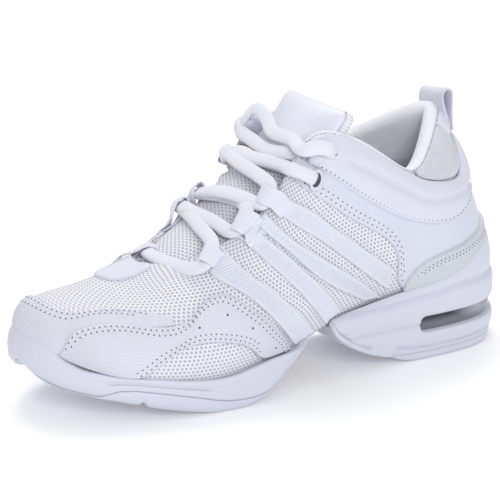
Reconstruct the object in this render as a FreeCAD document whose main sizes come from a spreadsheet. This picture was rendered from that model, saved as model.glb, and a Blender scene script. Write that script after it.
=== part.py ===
# Left split-sole cheer shoe, sewn from panels on a last, in millimetres.
# The toe points along -X, the lateral (outer) side faces -Y and the shoe stands on z = 0.
import FreeCAD, Part
import math
import os

doc = FreeCAD.newDocument("CheerShoe")
Vector = FreeCAD.Vector

# ---------------------------------------------------------------- driving dimensions
SIZES = {
    "shoe_length": 264.0,
    "ball_width": 96.0,
    "mesh_thick": 1.2,
    "lining_thick": 0.7,
    "leather_thick": 1.3,
    "webbing_thick": 1.4,
    "stiffener_thick": 1.5,
    "foam_thick": 5.0,
    "layer_gap": 0.4,
    "lip_width": 1.8,
    "sock_thick": 1.6,
    "liner_thick": 4.0,
    "heel_tread_thick": 4.0,
    "heel_tread_length": 66.0,
    "heel_tread_width": 54.0,
    "tread_groove_width": 3.0,
    "tread_groove_depth": 1.5,
    "window_height": 8.8,
    "window_front": 72.0,
    "window_middle": 18.6,
    "cushion_height": 8.2,
    "cushion_length": 46.0,
    "cushion_width": 44.0,
    "cell_radius": 3.6,
    "cell_depth": 8.0,
    "flex_notch_width": 4.0,
    "flex_notch_depth": 2.0,
    "lace_diameter": 4.0,
    "loop_inner_radius": 3.6,
    "loop_length": 6.0,
    "eyelet_radius": 3.6,
    "pull_tape_width": 20.0,
    "pull_tape_thick": 1.2,
    "pull_loop_gap": 6.0,
    "pull_loop_height": 10.0,
    "aglet_length": 16.0,
}
sheet = doc.addObject("Spreadsheet::Sheet", "Sizes")
for row, (alias, value) in enumerate(SIZES.items(), start=1):
    sheet.set("A%d" % row, alias.replace("_", " "))
    sheet.set("B%d" % row, str(value))
    sheet.setAlias("B%d" % row, alias)
doc.recompute()


def size(alias):
    return float(sheet.get(alias))


# ---------------------------------------------------------------- the lasted form
# Five closed loops from the feather line (0) up to the top line (4), each with sixteen
# stations: 0 is the middle of the heel, 4 the lateral instep, 8 the toe, 12 the medial instep.
LOOPS = [
    [(122, -3, 46), (116, -18, 44), (92, -28.5, 37), (58, -29, 34), (22, -32.5, 29.6), (-12, -37.5, 18.6),
     (-55, -42.5, 14.2), (-103, -29, 22.4), (-127, 4, 36), (-107, 28, 23), (-65, 42.5, 14.8),
     (-20, 37.5, 17.6), (15, 28.5, 28), (55, 25, 34), (92, 24.5, 37), (116, 13, 44)],
    [(118.5, -3, 64), (113, -18, 62), (91, -31, 58), (58, -33.5, 54), (22, -37, 48), (-12, -42, 36),
     (-55, -45, 28), (-106, -30, 33), (-127.5, 4, 45), (-110, 27.5, 33), (-66, 44, 28), (-20, 41, 36),
     (15, 33, 48), (55, 28.5, 54), (91, 26.5, 58), (113, 13, 62)],
    [(112.5, -3, 82), (107, -17, 80), (87, -30, 76), (57, -32, 73), (22, -35, 68), (-11, -39, 53),
     (-53, -41, 45), (-101, -25, 46), (-119.5, 5, 53.5), (-104, 24, 45), (-62, 37, 44), (-19, 37, 52),
     (16, 32, 66), (55, 28, 73), (87, 25, 77), (107, 12, 80)],
    [(105.5, -3, 101), (99, -15.5, 98), (81, -27, 89), (55, -31, 90), (20, -33, 95), (-10, -33, 73),
     (-48, -32, 59), (-86, -17, 54), (-97, 5, 57.2), (-88, 20, 51.5), (-54, 29, 56), (-16, 33, 71),
     (17, 31, 92), (54, 28, 91), (79, 23, 95), (98, 11, 99)],
    [(97, -3, 119), (90, -14, 112), (73, -25.5, 96), (50, -29, 106), (13, -29, 122), (-9, -26, 94),
     (-41, -21, 71.5), (-59, -11, 65.5), (-66, 3, 63.5), (-58, 16, 64), (-38, 25, 69), (-4, 28, 87),
     (16, 30, 118), (48, 28, 106), (70, 23, 105), (88, 10, 115)],
]
STATIONS = 16
LEVELS = 5
X_SCALE = size("shoe_length") / 264.0
Y_SCALE = size("ball_width") / 96.0


def solve(matrix, values):
    """Gaussian elimination for a small full matrix."""
    count = len(values)
    rows = [line[:] + [value] for line, value in zip(matrix, values)]
    for i in range(count):
        best = max(range(i, count), key=lambda k: abs(rows[k][i]))
        rows[i], rows[best] = rows[best], rows[i]
        for k in range(count):
            if k != i and rows[k][i]:
                factor = rows[k][i] / rows[i][i]
                rows[k] = [a - factor * b for a, b in zip(rows[k], rows[i])]
    return [rows[i][count] / rows[i][i] for i in range(count)]


def bending(knots, closed):
    """Second derivatives of the cubic spline through each unit vector, natural or closed."""
    table = []
    for unit in range(knots):
        height = [1.0 if i == unit else 0.0 for i in range(knots)]
        matrix = [[0.0] * knots for _ in range(knots)]
        right = [0.0] * knots
        for i in range(knots):
            if closed or 0 < i < knots - 1:
                before, after = (i - 1) % knots, (i + 1) % knots
                matrix[i][i] = 4.0
                matrix[i][before] += 1.0
                matrix[i][after] += 1.0
                right[i] = 6.0 * (height[before] - 2.0 * height[i] + height[after])
            else:
                matrix[i][i] = 1.0
        table.append(solve(matrix, right))
    return table


AROUND = bending(STATIONS, True)
UPWARD = bending(LEVELS, False)


def spline_weights(place, knots, table, closed):
    if closed:
        place %= knots
    start = min(max(int(place), 0), knots - 1 if closed else knots - 2)
    end = (start + 1) % knots
    far = place - start
    near = 1.0 - far
    weights = []
    for unit in range(knots):
        line = (near if unit == start else 0.0) + (far if unit == end else 0.0)
        curve = (near ** 3 - near) * table[unit][start] + (far ** 3 - far) * table[unit][end]
        weights.append(line + curve / 6.0)
    return weights


def form(station, level):
    """Point of the last's surface, at a station round the shoe and a level up its side."""
    around = spline_weights(station, STATIONS, AROUND, True)
    upward = spline_weights(level, LEVELS, UPWARD, False)
    point = Vector()
    for loop, share in zip(LOOPS, upward):
        for place, weight in zip(loop, around):
            point += Vector(place[0] * X_SCALE, place[1] * Y_SCALE, place[2]) * (share * weight)
    return point


def tangents(station, level):
    step = 0.02
    along = form(station + step, level) - form(station - step, level)
    low, high = max(level - step, 0.0), min(level + step, LEVELS - 1.0)
    up = form(station, high) - form(station, low)
    return along.normalize(), up.normalize()


def skin_point(station, level, height):
    """Point at a height outside (or, if negative, inside) the last's surface."""
    along, up = tangents(station, level)
    return form(station, level) + up.cross(along).normalize() * height


# ---------------------------------------------------------------- sheet pieces
def spread(rail, count):
    """Evenly spaced places along a rail of (station, level) points, on a smooth curve."""
    lengths = [0.0]
    for (s0, t0), (s1, t1) in zip(rail, rail[1:]):
        lengths.append(lengths[-1] + math.hypot((s1 - s0) * 30.0, (t1 - t0) * 20.0))
    curve = Part.BSplineCurve()
    curve.interpolate(Points=[Vector(s, t, 0) for s, t in rail],
                      Parameters=[length / lengths[-1] for length in lengths])
    return [curve.value(i / (count - 1.0)) for i in range(count)]


def between(rail_a, rail_b, columns, rows):
    """Grid of (station, level) places that runs from one rail to the other."""
    first, last = spread(rail_a, columns), spread(rail_b, columns)
    grid = []
    for a, b in zip(first, last):
        line = []
        for j in range(rows):
            share = j / (rows - 1.0)
            line.append((a.x + (b.x - a.x) * share, min(max(a.y + (b.y - a.y) * share, 0.0), 4.0)))
        grid.append(line)
    return grid


def slab(inner, outer):
    """Closed solid between two grids of points, with ruled sides."""
    surfaces = []
    for grid in (inner, outer):
        surface = Part.BSplineSurface()
        surface.interpolate(grid)
        surfaces.append(surface)
    u0, u1, v0, v1 = surfaces[0].bounds()
    faces = [surface.toShape() for surface in surfaces]
    for u in (u0, u1):
        a, b = [surface.uIso(u).toShape() for surface in surfaces]
        faces.append(Part.makeRuledSurface(a, b))
    for v in (v0, v1):
        a, b = [surface.vIso(v).toShape() for surface in surfaces]
        faces.append(Part.makeRuledSurface(a, b))
    shell = Part.makeShell(faces)
    shell.sewShape()
    solid = Part.makeSolid(Part.Shell(shell.Faces))
    if solid.Volume < 0:
        solid.reverse()
    return solid


def mirrored(rail, middle=8.0):
    """The same rail on the other side of the toe (middle 8) or of the heel (middle 0)."""
    return [(2 * middle - station, level) for station, level in rail]


def sheet_shape(rail_a, rail_b, bottom, thick, rows=7):
    span = max(sum(abs(s1 - s0) + abs(t1 - t0) for (s0, t0), (s1, t1) in zip(rail, rail[1:]))
               for rail in (rail_a, rail_b))
    places = between(rail_a, rail_b, 9 + int(GRID_DENSITY * span), rows)
    inner = [[skin_point(s, t, bottom) for s, t in line] for line in places]
    outer = [[skin_point(s, t, bottom + thick) for s, t in line] for line in places]
    return slab(inner, outer)


def add_feature(label, shape):
    feature = doc.addObject("Part::Feature", label)
    feature.Label = label
    feature.Shape = shape
    feature.Placement = FreeCAD.Placement()
    return feature


def level_rail(start, end, level, count=9):
    """Rail that stays at one level between two stations."""
    return [(start + (end - start) * i / (count - 1.0), level) for i in range(count)]


GRID_DENSITY = 12.0  # grid columns for each station or level that a sheet runs past
GAP = size("layer_gap")
MESH = size("mesh_thick")
OVERLAY = GAP
LINING_FACE = -MESH - size("stiffener_thick") - 2 * GAP - size("lining_thick")
FOAM_FACE = -MESH - 1.2 * GAP - size("foam_thick")

# Rails of the lateral side as (station, level); the medial side mirrors them.
MUDGUARD_TOP = [(7.40, 0.45), (7.34, 0.80), (7.28, 1.33), (7.16, 1.74), (6.84, 2.06), (6.50, 1.98),
                (6.20, 2.05), (6.06, 2.45), (5.88, 2.58), (5.70, 2.33), (5.57, 2.05), (5.35, 1.55),
                (5.17, 1.05), (4.98, 0.55), (4.88, 0.15)]
MUDGUARD_BOTTOM = [(7.28, 0.45), (7.05, 0.45), (6.85, 0.42), (6.68, 0.44), (6.55, 0.68), (6.35, 1.21),
                   (6.20, 1.41), (6.03, 1.43), (5.83, 1.31), (5.68, 1.16), (5.54, 0.91), (5.42, 0.56),
                   (5.34, 0.40), (5.20, 0.32), (5.06, 0.28)]
TOE_CAP_TOP = [(6.36, 2.24), (6.64, 2.52), (6.87, 2.60), (7.13, 2.44), (7.39, 2.10), (7.70, 2.02), (8.0, 2.04)]
TOE_CAP_BOTTOM = [(6.36, 2.12), (6.70, 2.14), (6.95, 2.12), (7.22, 1.82), (7.38, 1.10), (7.50, 0.38), (8.0, 0.34)]
STRAPS = {
    "1": ([(6.03, 3.92), (5.97, 3.27), (5.71, 2.64), (5.45, 2.06), (5.25, 1.51), (5.05, 0.90), (4.80, 0.15)],
          [(5.80, 3.92), (5.66, 3.35), (5.43, 2.67), (5.19, 2.14), (4.96, 1.56), (4.70, 0.85), (4.46, 0.15)]),
    "2": ([(5.60, 3.92), (5.45, 3.50), (5.28, 2.99), (5.05, 2.39), (4.82, 1.79), (4.60, 1.15), (4.24, 0.15)],
          [(5.36, 3.92), (5.19, 3.37), (4.93, 2.72), (4.70, 2.16), (4.50, 1.69), (4.24, 1.03), (3.95, 0.26)]),
    "3": ([(5.32, 3.92), (5.15, 3.37), (4.89, 2.72), (4.62, 2.08), (4.30, 1.40), (3.92, 0.75), (3.56, 0.26)],
          [(5.16, 3.92), (5.02, 3.47), (4.73, 2.72), (4.36, 2.06), (4.01, 1.46), (3.69, 0.91), (3.26, 0.15)]),
    "4": ([(5.08, 3.92), (4.88, 3.40), (4.53, 2.67), (4.15, 2.05), (3.81, 1.43), (3.50, 0.85), (3.16, 0.30)],
          [(4.84, 3.92), (4.70, 3.50), (4.42, 2.98), (4.13, 2.47), (3.81, 2.00), (3.48, 1.45), (3.12, 0.85)]),
}
QUARTER_FRONT = [(4.66, 3.98), (4.50, 3.50), (4.25, 3.02), (3.73, 2.32), (3.22, 1.68), (3.04, 1.10),
                 (3.02, 0.60), (2.92, 0.24), (2.20, 0.24), (1.30, 0.24), (0.70, 0.24), (0.06, 0.24)]
QUARTER_TOP = [(4.42, 3.98), (4.30, 3.72), (4.07, 3.37), (3.74, 2.94), (3.48, 2.69), (3.27, 2.49),
               (3.02, 2.22), (2.72, 1.93), (2.10, 1.61), (1.40, 1.75), (0.80, 1.95), (0.06, 2.09)]
COLLAR_BOTTOM = [(s, t + 0.05) for s, t in QUARTER_TOP[1:]]
COLLAR_TOP = [(4.20, 3.98), (3.84, 3.98), (3.45, 3.98), (3.15, 3.97), (2.85, 3.92), (2.52, 3.78),
              (2.25, 3.32), (1.75, 2.66), (1.15, 2.48), (0.62, 2.84), (0.06, 3.30)]
GORE_BOTTOM = [(2.30, 3.50), (2.05, 3.04), (1.72, 2.70), (1.20, 2.56), (0.85, 2.78), (0.68, 2.98), (0.58, 3.20)]
GORE_TOP = [(2.22, 3.72), (1.87, 3.50), (1.60, 3.36), (1.30, 3.34), (1.02, 3.36), (0.82, 3.34), (0.68, 3.30)]
PATCH_TOP = [(2.84, 0.42), (2.76, 0.52), (2.60, 0.68), (2.13, 0.86), (1.27, 0.84), (0.6, 0.88), (0.0, 0.92)]
TONGUE_ROWS = [((-66, 2.5, 57), 8), ((-46, 1.5, 64.5), 13), ((-22, 1, 76), 16), ((0, 0.5, 92), 17),
               ((18, 0.5, 109), 17), ((31, 1, 129), 23)]
EYELETS = {"lateral": [(4.24, 3.37), (3.86, 3.62)], "medial": [(11.62, 3.40), (11.98, 3.62)]}
LACE_LOOPS = {"lateral": [5.92, 5.42, 4.98], "medial": [9.35, 10.25, 10.72]}


def both_ways(rail):
    """Rail that runs up to the middle line and back down the other side."""
    return rail + mirrored(rail[:-1], rail[-1][0])[::-1]


def eyelet_holes(side):
    radius = size("eyelet_radius")
    holes = []
    for station, level in EYELETS[side]:
        inside = skin_point(station, level, -9.0)
        outside = skin_point(station, level, 5.0)
        holes.append(Part.makeCylinder(radius, 14.0, inside, outside - inside))
    return holes


def add_sheet(label, rail_a, rail_b, bottom, thick, holes=(), rows=7):
    shape = sheet_shape(rail_a, rail_b, bottom, thick, rows)
    if holes:
        shape = shape.cut(list(holes))
    return add_feature(label, shape.Solids[0])


def build_base_layers():
    """Mesh uppers, linings, stiffeners and the collar's foam, from outside to inside."""
    lining = size("lining_thick")
    stiff = size("stiffener_thick")
    add_sheet("vamp_mesh", level_rail(6.02, 9.98, 0.03, 17), level_rail(6.02, 9.98, 3.98, 17),
              -MESH, MESH, rows=17)
    add_sheet("vamp_lining", level_rail(6.02, 9.98, 0.1, 17), level_rail(6.02, 9.98, 3.9, 17),
              LINING_FACE, lining, rows=17)
    add_sheet("toe_puff", level_rail(6.9, 9.1, 0.1), level_rail(6.9, 9.1, 2.0),
              -MESH - GAP - stiff, stiff, rows=9)
    for side in ("lateral", "medial"):
        turn = mirrored if side == "medial" else list
        holes = eyelet_holes(side)
        add_sheet("quarter_mesh_" + side, turn(level_rail(0.05, 5.96, 0.03, 17)),
                  turn(level_rail(0.05, 5.96, 3.98, 17)), -MESH, MESH, holes, rows=17)
        add_sheet("quarter_lining_" + side, turn(level_rail(3.48, 5.96, 0.12)),
                  turn(level_rail(3.48, 5.96, 3.9)), LINING_FACE, lining, holes, rows=15)
    add_sheet("heel_counter", level_rail(-2.6, 2.6, 0.12, 13), level_rail(-2.6, 2.6, 1.85, 13),
              -MESH - 1.4 * GAP - stiff, stiff, rows=9)
    add_sheet("heel_lining", level_rail(-3.4, 3.4, 0.12, 17), level_rail(-3.4, 3.4, 1.85, 17),
              LINING_FACE, lining, rows=9)
    collar_low = level_rail(-3.4, 3.4, 2.0, 17)
    collar_high = level_rail(-3.4, 3.4, 3.94, 17)
    add_sheet("collar_foam", collar_low, collar_high, FOAM_FACE, size("foam_thick"), rows=11)
    add_sheet("collar_lining", collar_low, collar_high, FOAM_FACE - GAP - lining, lining, rows=11)


def build_overlays():
    """Leather, webbing and trim sewn on the outside of the mesh."""
    leather = size("leather_thick")
    webbing = size("webbing_thick")
    add_sheet("toe_cap", both_ways(TOE_CAP_BOTTOM), both_ways(TOE_CAP_TOP), OVERLAY, leather)
    tab_edge = [(7.22, 3.90), (7.30, 3.62), (7.50, 3.42), (7.80, 3.34), (8.0, 3.33)]
    tab_root = [(7.40, 3.96), (7.55, 3.96), (7.70, 3.96), (7.85, 3.96), (8.0, 3.96)]
    add_sheet("throat_tab", both_ways(tab_edge), both_ways(tab_root), OVERLAY, webbing)
    add_sheet("heel_patch", both_ways([(s, 0.34) for s, _ in PATCH_TOP]),
              both_ways(PATCH_TOP), OVERLAY + leather + GAP, leather)
    add_sheet("heel_tab", level_rail(-0.62, 0.62, 3.38), level_rail(-0.80, 0.80, 3.90), OVERLAY, 2 * leather)
    for side in ("lateral", "medial"):
        turn = mirrored if side == "medial" else list
        holes = eyelet_holes(side)
        add_sheet("mudguard_" + side, turn(MUDGUARD_BOTTOM), turn(MUDGUARD_TOP), OVERLAY, leather)
        for number, (front, back) in STRAPS.items():
            add_sheet("strap_%s_%s" % (number, side), turn(front), turn(back), 1.5 * OVERLAY, webbing)
        add_sheet("quarter_leather_" + side, turn(QUARTER_FRONT), turn(QUARTER_TOP), OVERLAY, leather,
                  holes)
        add_sheet("collar_panel_" + side, turn(COLLAR_BOTTOM), turn(COLLAR_TOP), OVERLAY, 2 * leather,
                  holes)
        add_sheet("achilles_gore_" + side, turn(GORE_BOTTOM), turn(GORE_TOP), OVERLAY, leather)


# ---------------------------------------------------------------- tongue
def tongue_point(across, along, depth):
    """Point of the tongue: across from -1 to 1, along from 0 at the vamp to 1 at its top."""
    rows = len(TONGUE_ROWS)
    weights = spline_weights(along * (rows - 1), rows, bending(rows, False), False)
    middle = Vector()
    half = 0.0
    for (place, width), weight in zip(TONGUE_ROWS, weights):
        middle += Vector(*place) * weight
        half += width * weight
    drop = (0.16 + 0.12 * along) * half * across * across
    back = 0.10 * half * across * across * along
    slope = math.radians(28 + 30 * along)
    down = Vector(math.sin(slope), 0, -math.cos(slope))
    return middle + Vector(back, half * across, -drop) + down * depth


def tongue_layer(start, end, depth, thick, width=1.0, columns=13, rows=9):
    grids = []
    for layer in (depth + thick, depth):
        grid = []
        for i in range(columns):
            along = start + (end - start) * i / (columns - 1.0)
            grid.append([tongue_point(width * (2.0 * j / (rows - 1.0) - 1.0), along, layer) for j in range(rows)])
        grids.append(grid)
    return slab(*grids)


def build_tongue():
    foam = 3.0
    cover = 1.0
    add_feature("tongue_mesh", tongue_layer(0.02, 0.66, 0.0, cover))
    add_feature("tongue_leather", tongue_layer(0.665, 1.0, 0.0, cover))
    add_feature("tongue_foam", tongue_layer(0.04, 0.98, cover + GAP, foam, 0.95))
    add_feature("tongue_lining", tongue_layer(0.02, 1.0, cover + foam + 2 * GAP, size("lining_thick")))
    keeper = tongue_layer(0.70, 0.78, -1.0 - GAP, 1.0, 0.45)
    add_feature("tongue_lace_keeper", keeper)


# ---------------------------------------------------------------- insole pieces
# Plan of the footbed: x, lateral y, medial y and height of the surface the sock lies on.
FOOTBED = [(-118, -13, 18, 29.5), (-111, -19.5, 24, 25.4), (-100, -27, 29.5, 21.0), (-80, -35.5, 36, 16.6),
           (-55, -40, 39.5, 13.6), (-30, -38.5, 37, 15.2), (-8, -34.5, 32, 20.0), (15, -30, 26, 27.8),
           (40, -27, 23, 32.0), (70, -26, 22.5, 34.4), (95, -23, 18, 36.4), (110, -15, 9, 39.6)]


def footbed_layer(bottom, thick, margin):
    grids = []
    for height in (bottom, bottom + thick):
        grid = []
        for x, lateral, medial, z in FOOTBED:
            low, high = (lateral + margin) * Y_SCALE, (medial - margin) * Y_SCALE
            grid.append([Vector(x * X_SCALE, low + (high - low) * j / 6.0, z + height) for j in range(7)])
        grids.append(grid)
    return slab(*grids)


def build_insole():
    add_feature("strobel_sock", footbed_layer(GAP, size("sock_thick"), 3.6))
    add_feature("sock_liner", footbed_layer(size("sock_thick") + 2 * GAP, size("liner_thick"), 5.2))


# ---------------------------------------------------------------- soles
def new_body(label):
    body = doc.addObject("PartDesign::Body", label)
    body.Label = label
    return body


def plane(body, role):
    return [item for item in body.Origin.OriginFeatures if item.Role == role][0]


def new_sketch(body, name, role, offset=None, rotation=None):
    sketch = body.newObject("Sketcher::SketchObject", name)
    sketch.AttachmentSupport = (plane(body, role), "")
    sketch.MapMode = "FlatFace"
    if offset is not None:
        sketch.AttachmentOffset = FreeCAD.Placement(offset, rotation or FreeCAD.Rotation())
    return sketch


def draw_polygon(sketch, points):
    for (x0, y0), (x1, y1) in zip(points, points[1:] + points[:1]):
        sketch.addGeometry(Part.LineSegment(Vector(x0, y0, 0), Vector(x1, y1, 0)), False)


def lofted_body(label, sections):
    """Body lofted along X through closed outlines, given as {x: [(y, z), ...]}."""
    body = new_body(label)
    sketches = []
    for number, (x, outline) in enumerate(sections.items()):
        sketch = new_sketch(body, "%s_section_%d" % (label, number), "YZ_Plane", Vector(0, 0, x * X_SCALE))
        draw_polygon(sketch, [(y * Y_SCALE, z) for y, z in outline])
        sketches.append(sketch)
    doc.recompute()
    loft = body.newObject("PartDesign::AdditiveLoft", label + "_loft")
    loft.Profile = sketches[0]
    loft.Sections = sketches[1:]
    loft.Ruled = True
    doc.recompute()
    return body


def tray_outline(lateral, medial, lip, bed, base, draft=0.0):
    """Section of a sole unit with a raised lip along both sides of its footbed."""
    edge = size("lip_width")
    return [(lateral + draft, base), (lateral, (lip + base) / 2), (lateral + 0.3, lip), (lateral + edge, lip),
            (lateral + edge + 0.5, bed), (medial - edge - 0.5, bed), (medial - edge, lip),
            (medial - 0.3, lip), (medial, (lip + base) / 2), (medial - draft, base)]


# x: lateral y, medial y, lip, footbed, parting line, ground side
FOREFOOT = {
    -131.5: (-2, 13, 41.5, 36, 31.0, 28.5),
    -126: (-13, 21, 37.5, 31.5, 25.8, 19.5),
    -117: (-24, 29, 31, 26.5, 21.0, 15.2),
    -104: (-33, 36.5, 24.6, 21.2, 17.6, 13.3),
    -88: (-40.5, 42.5, 21.6, 17.2, 13.6, 9.6),
    -62: (-46.5, 46.6, 17.8, 13.3, 8.4, 2.8),
    -50: (-47.6, 47.6, 16.9, 12.7, 6.0, 0.0),
    -37: (-47.6, 46.9, 17.4, 13.2, 4.4, 0.0),
    -26: (-46.8, 44.6, 19.2, 14.8, 5.4, 2.0),
    -14: (-44, 40.5, 20.6, 17.2, 12.4, 9.4),
    -4: (-42.5, 37.5, 22.0, 20.2, 19.4, 18.4),
}
# x: lateral y, medial y, lip, footbed, ground side
HEEL = {
    19: (-37, 31.5, 31.0, 28.4, 27.6),
    27: (-36.5, 31, 32.5, 29.4, 22.6),
    40: (-35.5, 30, 34.3, 31.0, 14.4),
    56: (-34.5, 29.5, 36.4, 32.8, 6.6),
    70: (-34.5, 30, 38.2, 33.5, 4.3),
    90: (-34, 30.5, 41.7, 34.8, 4.3),
    106: (-31.5, 27.5, 47.2, 36.2, 4.3),
    118: (-26, 21.5, 52.2, 38.6, 5.2),
    127: (-17, 12, 54.4, 53.8, 8.0),
    131.5: (-8, 3, 54.4, 53.8, 13.0),
}


def build_forefoot_sole():
    tray = {x: tray_outline(a, b, lip, bed, part + 0.15, 0.8) for x, (a, b, lip, bed, part, _) in FOREFOOT.items()}
    lofted_body("forefoot_midsole", tray)
    tread = {}
    for x, (lateral, medial, _, _, part, base) in FOREFOOT.items():
        tread[x] = [(lateral + 4.0, base), (lateral + 0.8, (part + base) / 2), (lateral + 0.8, part - 0.15),
                    (medial - 0.8, part - 0.15), (medial - 0.8, (part + base) / 2), (medial - 4.0, base)]
    body = lofted_body("forefoot_outsole", tread)
    notch = new_sketch(body, "flex_notch_sketch", "XZ_Plane")
    half = size("flex_notch_width") / 2
    x, z = -87.5, 9.4
    draw_polygon(notch, [(x - half, z - 5), (x + half, z - 5), (x + half / 2, z + size("flex_notch_depth")),
                         (x - half / 2, z + size("flex_notch_depth"))])
    doc.recompute()
    pocket = body.newObject("PartDesign::Pocket", "flex_notch")
    pocket.Profile = notch
    pocket.Type = "ThroughAll"
    pocket.Midplane = True
    before = body.Shape.Volume
    doc.recompute()
    assert body.Shape.Volume < before, "the flex notch cuts nothing"


def build_heel_sole():
    tray = {x: tray_outline(a, b, lip, bed, base, 2.0) for x, (a, b, lip, bed, base) in HEEL.items()}
    body = lofted_body("heel_midsole", tray)
    window = new_sketch(body, "air_window_sketch", "XZ_Plane")
    middle, half, front = size("window_middle"), size("window_height") / 2, size("window_front")
    back = 140.0
    window.addGeometry(Part.LineSegment(Vector(back, middle - half, 0), Vector(back, middle + half, 0)), False)
    window.addGeometry(Part.LineSegment(Vector(back, middle + half, 0), Vector(front + half, middle + half, 0)), False)
    arc = Part.Arc(Vector(front + half, middle + half, 0), Vector(front, middle, 0),
                   Vector(front + half, middle - half, 0))
    window.addGeometry(arc, False)
    window.addGeometry(Part.LineSegment(Vector(front + half, middle - half, 0), Vector(back, middle - half, 0)), False)
    doc.recompute()
    pocket = body.newObject("PartDesign::Pocket", "air_window")
    pocket.Profile = window
    pocket.Type = "ThroughAll"
    pocket.Midplane = True
    before = body.Shape.Volume
    doc.recompute()
    assert body.Shape.Volume < before, "the air window cuts nothing"


def rounded_plate(label, x, y, z, length_cell, width_cell, height_cell, nose):
    """Pad with a flat front edge and an elliptic back, on the plane at z."""
    body = new_body(label)
    sketch = new_sketch(body, label + "_outline", "XY_Plane", Vector(x, y, z))
    length, width = size(length_cell), size(width_cell)
    straight = length - nose
    sketch.addGeometry(Part.LineSegment(Vector(straight, -width / 2, 0), Vector(0, -width / 2, 0)), False)
    sketch.addGeometry(Part.LineSegment(Vector(0, -width / 2, 0), Vector(0, width / 2, 0)), False)
    sketch.addGeometry(Part.LineSegment(Vector(0, width / 2, 0), Vector(straight, width / 2, 0)), False)
    sketch.addGeometry(Part.Arc(Vector(straight, width / 2, 0), Vector(length, 0, 0),
                                Vector(straight, -width / 2, 0)), False)
    doc.recompute()
    pad = body.newObject("PartDesign::Pad", label + "_pad")
    pad.Profile = sketch
    pad.setExpression("Length", "Sizes." + height_cell)
    doc.recompute()
    return body


def build_heel_tread():
    body = rounded_plate("heel_outsole", 56.0, -2.2, 0.0, "heel_tread_length", "heel_tread_width",
                         "heel_tread_thick", 24.0)
    groove = new_sketch(body, "tread_groove_sketch", "XZ_Plane")
    width, depth = size("tread_groove_width"), size("tread_groove_depth")
    draw_polygon(groove, [(66, -1), (66 + width, -1), (66 + width, depth), (66, depth)])
    doc.recompute()
    pocket = body.newObject("PartDesign::Pocket", "tread_groove")
    pocket.Profile = groove
    pocket.Type = "ThroughAll"
    pocket.Midplane = True
    before = body.Shape.Volume
    doc.recompute()
    assert body.Shape.Volume < before, "the tread groove cuts nothing"
    pattern = body.newObject("PartDesign::LinearPattern", "tread_grooves")
    pattern.Originals = [pocket]
    pattern.Direction = (plane(body, "X_Axis"), [""])
    pattern.Length = 40.0
    pattern.Occurrences = 5
    body.Tip = pattern
    doc.recompute()


def build_air_cushion():
    body = rounded_plate("heel_air_cushion", 82.0, -2.0, size("window_middle") - size("cushion_height") / 2,
                         "cushion_length", "cushion_width", "cushion_height", 20.0)
    top = size("window_middle") + size("cushion_height") / 2
    cell = new_sketch(body, "air_cell_sketch", "XY_Plane", Vector(0, 0, top))
    cell.addGeometry(Part.Circle(Vector(90, -14, 0), Vector(0, 0, 1), size("cell_radius")), False)
    doc.recompute()
    pocket = body.newObject("PartDesign::Pocket", "air_cell")
    pocket.Profile = cell
    pocket.setExpression("Length", "Sizes.cell_depth")
    before = body.Shape.Volume
    doc.recompute()
    assert body.Shape.Volume < before, "the air cell cuts nothing"
    pattern = body.newObject("PartDesign::LinearPattern", "air_cell_row")
    pattern.Originals = [pocket]
    pattern.Direction = (plane(body, "Y_Axis"), [""])
    pattern.Length = 24.0
    pattern.Occurrences = 3
    body.Tip = pattern
    doc.recompute()


# ---------------------------------------------------------------- pull loop
def tape_path(points, thick):
    """Closed outline of a tape of even thickness that follows points in the XZ plane."""
    left, right = [], []
    for i, (x, z) in enumerate(points):
        x0, z0 = points[max(i - 1, 0)]
        x1, z1 = points[min(i + 1, len(points) - 1)]
        run = math.hypot(x1 - x0, z1 - z0)
        nx, nz = -(z1 - z0) / run * thick / 2, (x1 - x0) / run * thick / 2
        left.append((x + nx, z + nz))
        right.append((x - nx, z - nz))
    return left + right[::-1]


def tape_body(label, points):
    body = new_body(label)
    sketch = new_sketch(body, label + "_side", "XZ_Plane", Vector(0, 0, 3.0))
    draw_polygon(sketch, tape_path(points, size("pull_tape_thick")))
    doc.recompute()
    pad = body.newObject("PartDesign::Pad", label + "_tape")
    pad.Profile = sketch
    pad.setExpression("Length", "Sizes.pull_tape_width")
    pad.Midplane = True
    doc.recompute()
    return body


LOOP_ROOT = (99.5, 121.2)


def build_pull_loop():
    gap, height = size("pull_loop_gap"), size("pull_loop_height")
    x, z = LOOP_ROOT
    bow = [(x - gap / 2, z + 0.4)]
    for degree in range(180, -1, -20):
        angle = math.radians(degree)
        bow.append((x + gap / 2 * math.cos(angle), z + height - gap / 2 + gap / 2 * math.sin(angle)))
    bow.append((x + gap / 2, z + 0.4))
    tape_body("pull_loop", bow)
    ends = [(108.6, 105.0), (106.6, 110.0), (105.0, 114.6), (103.9, 118.4)]
    tape_body("pull_loop_ends", ends)


# ---------------------------------------------------------------- lace and its loops
def loop_frame(station):
    """Centre and axis of the webbing loop at the throat edge."""
    along, up = tangents(station, 3.98)
    outward = up.cross(along).normalize()
    inward = along.cross(outward).normalize()
    reach = size("loop_inner_radius") + size("webbing_thick") + 1.5
    return form(station, 3.98) + inward * reach + outward * 2.0, along


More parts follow.
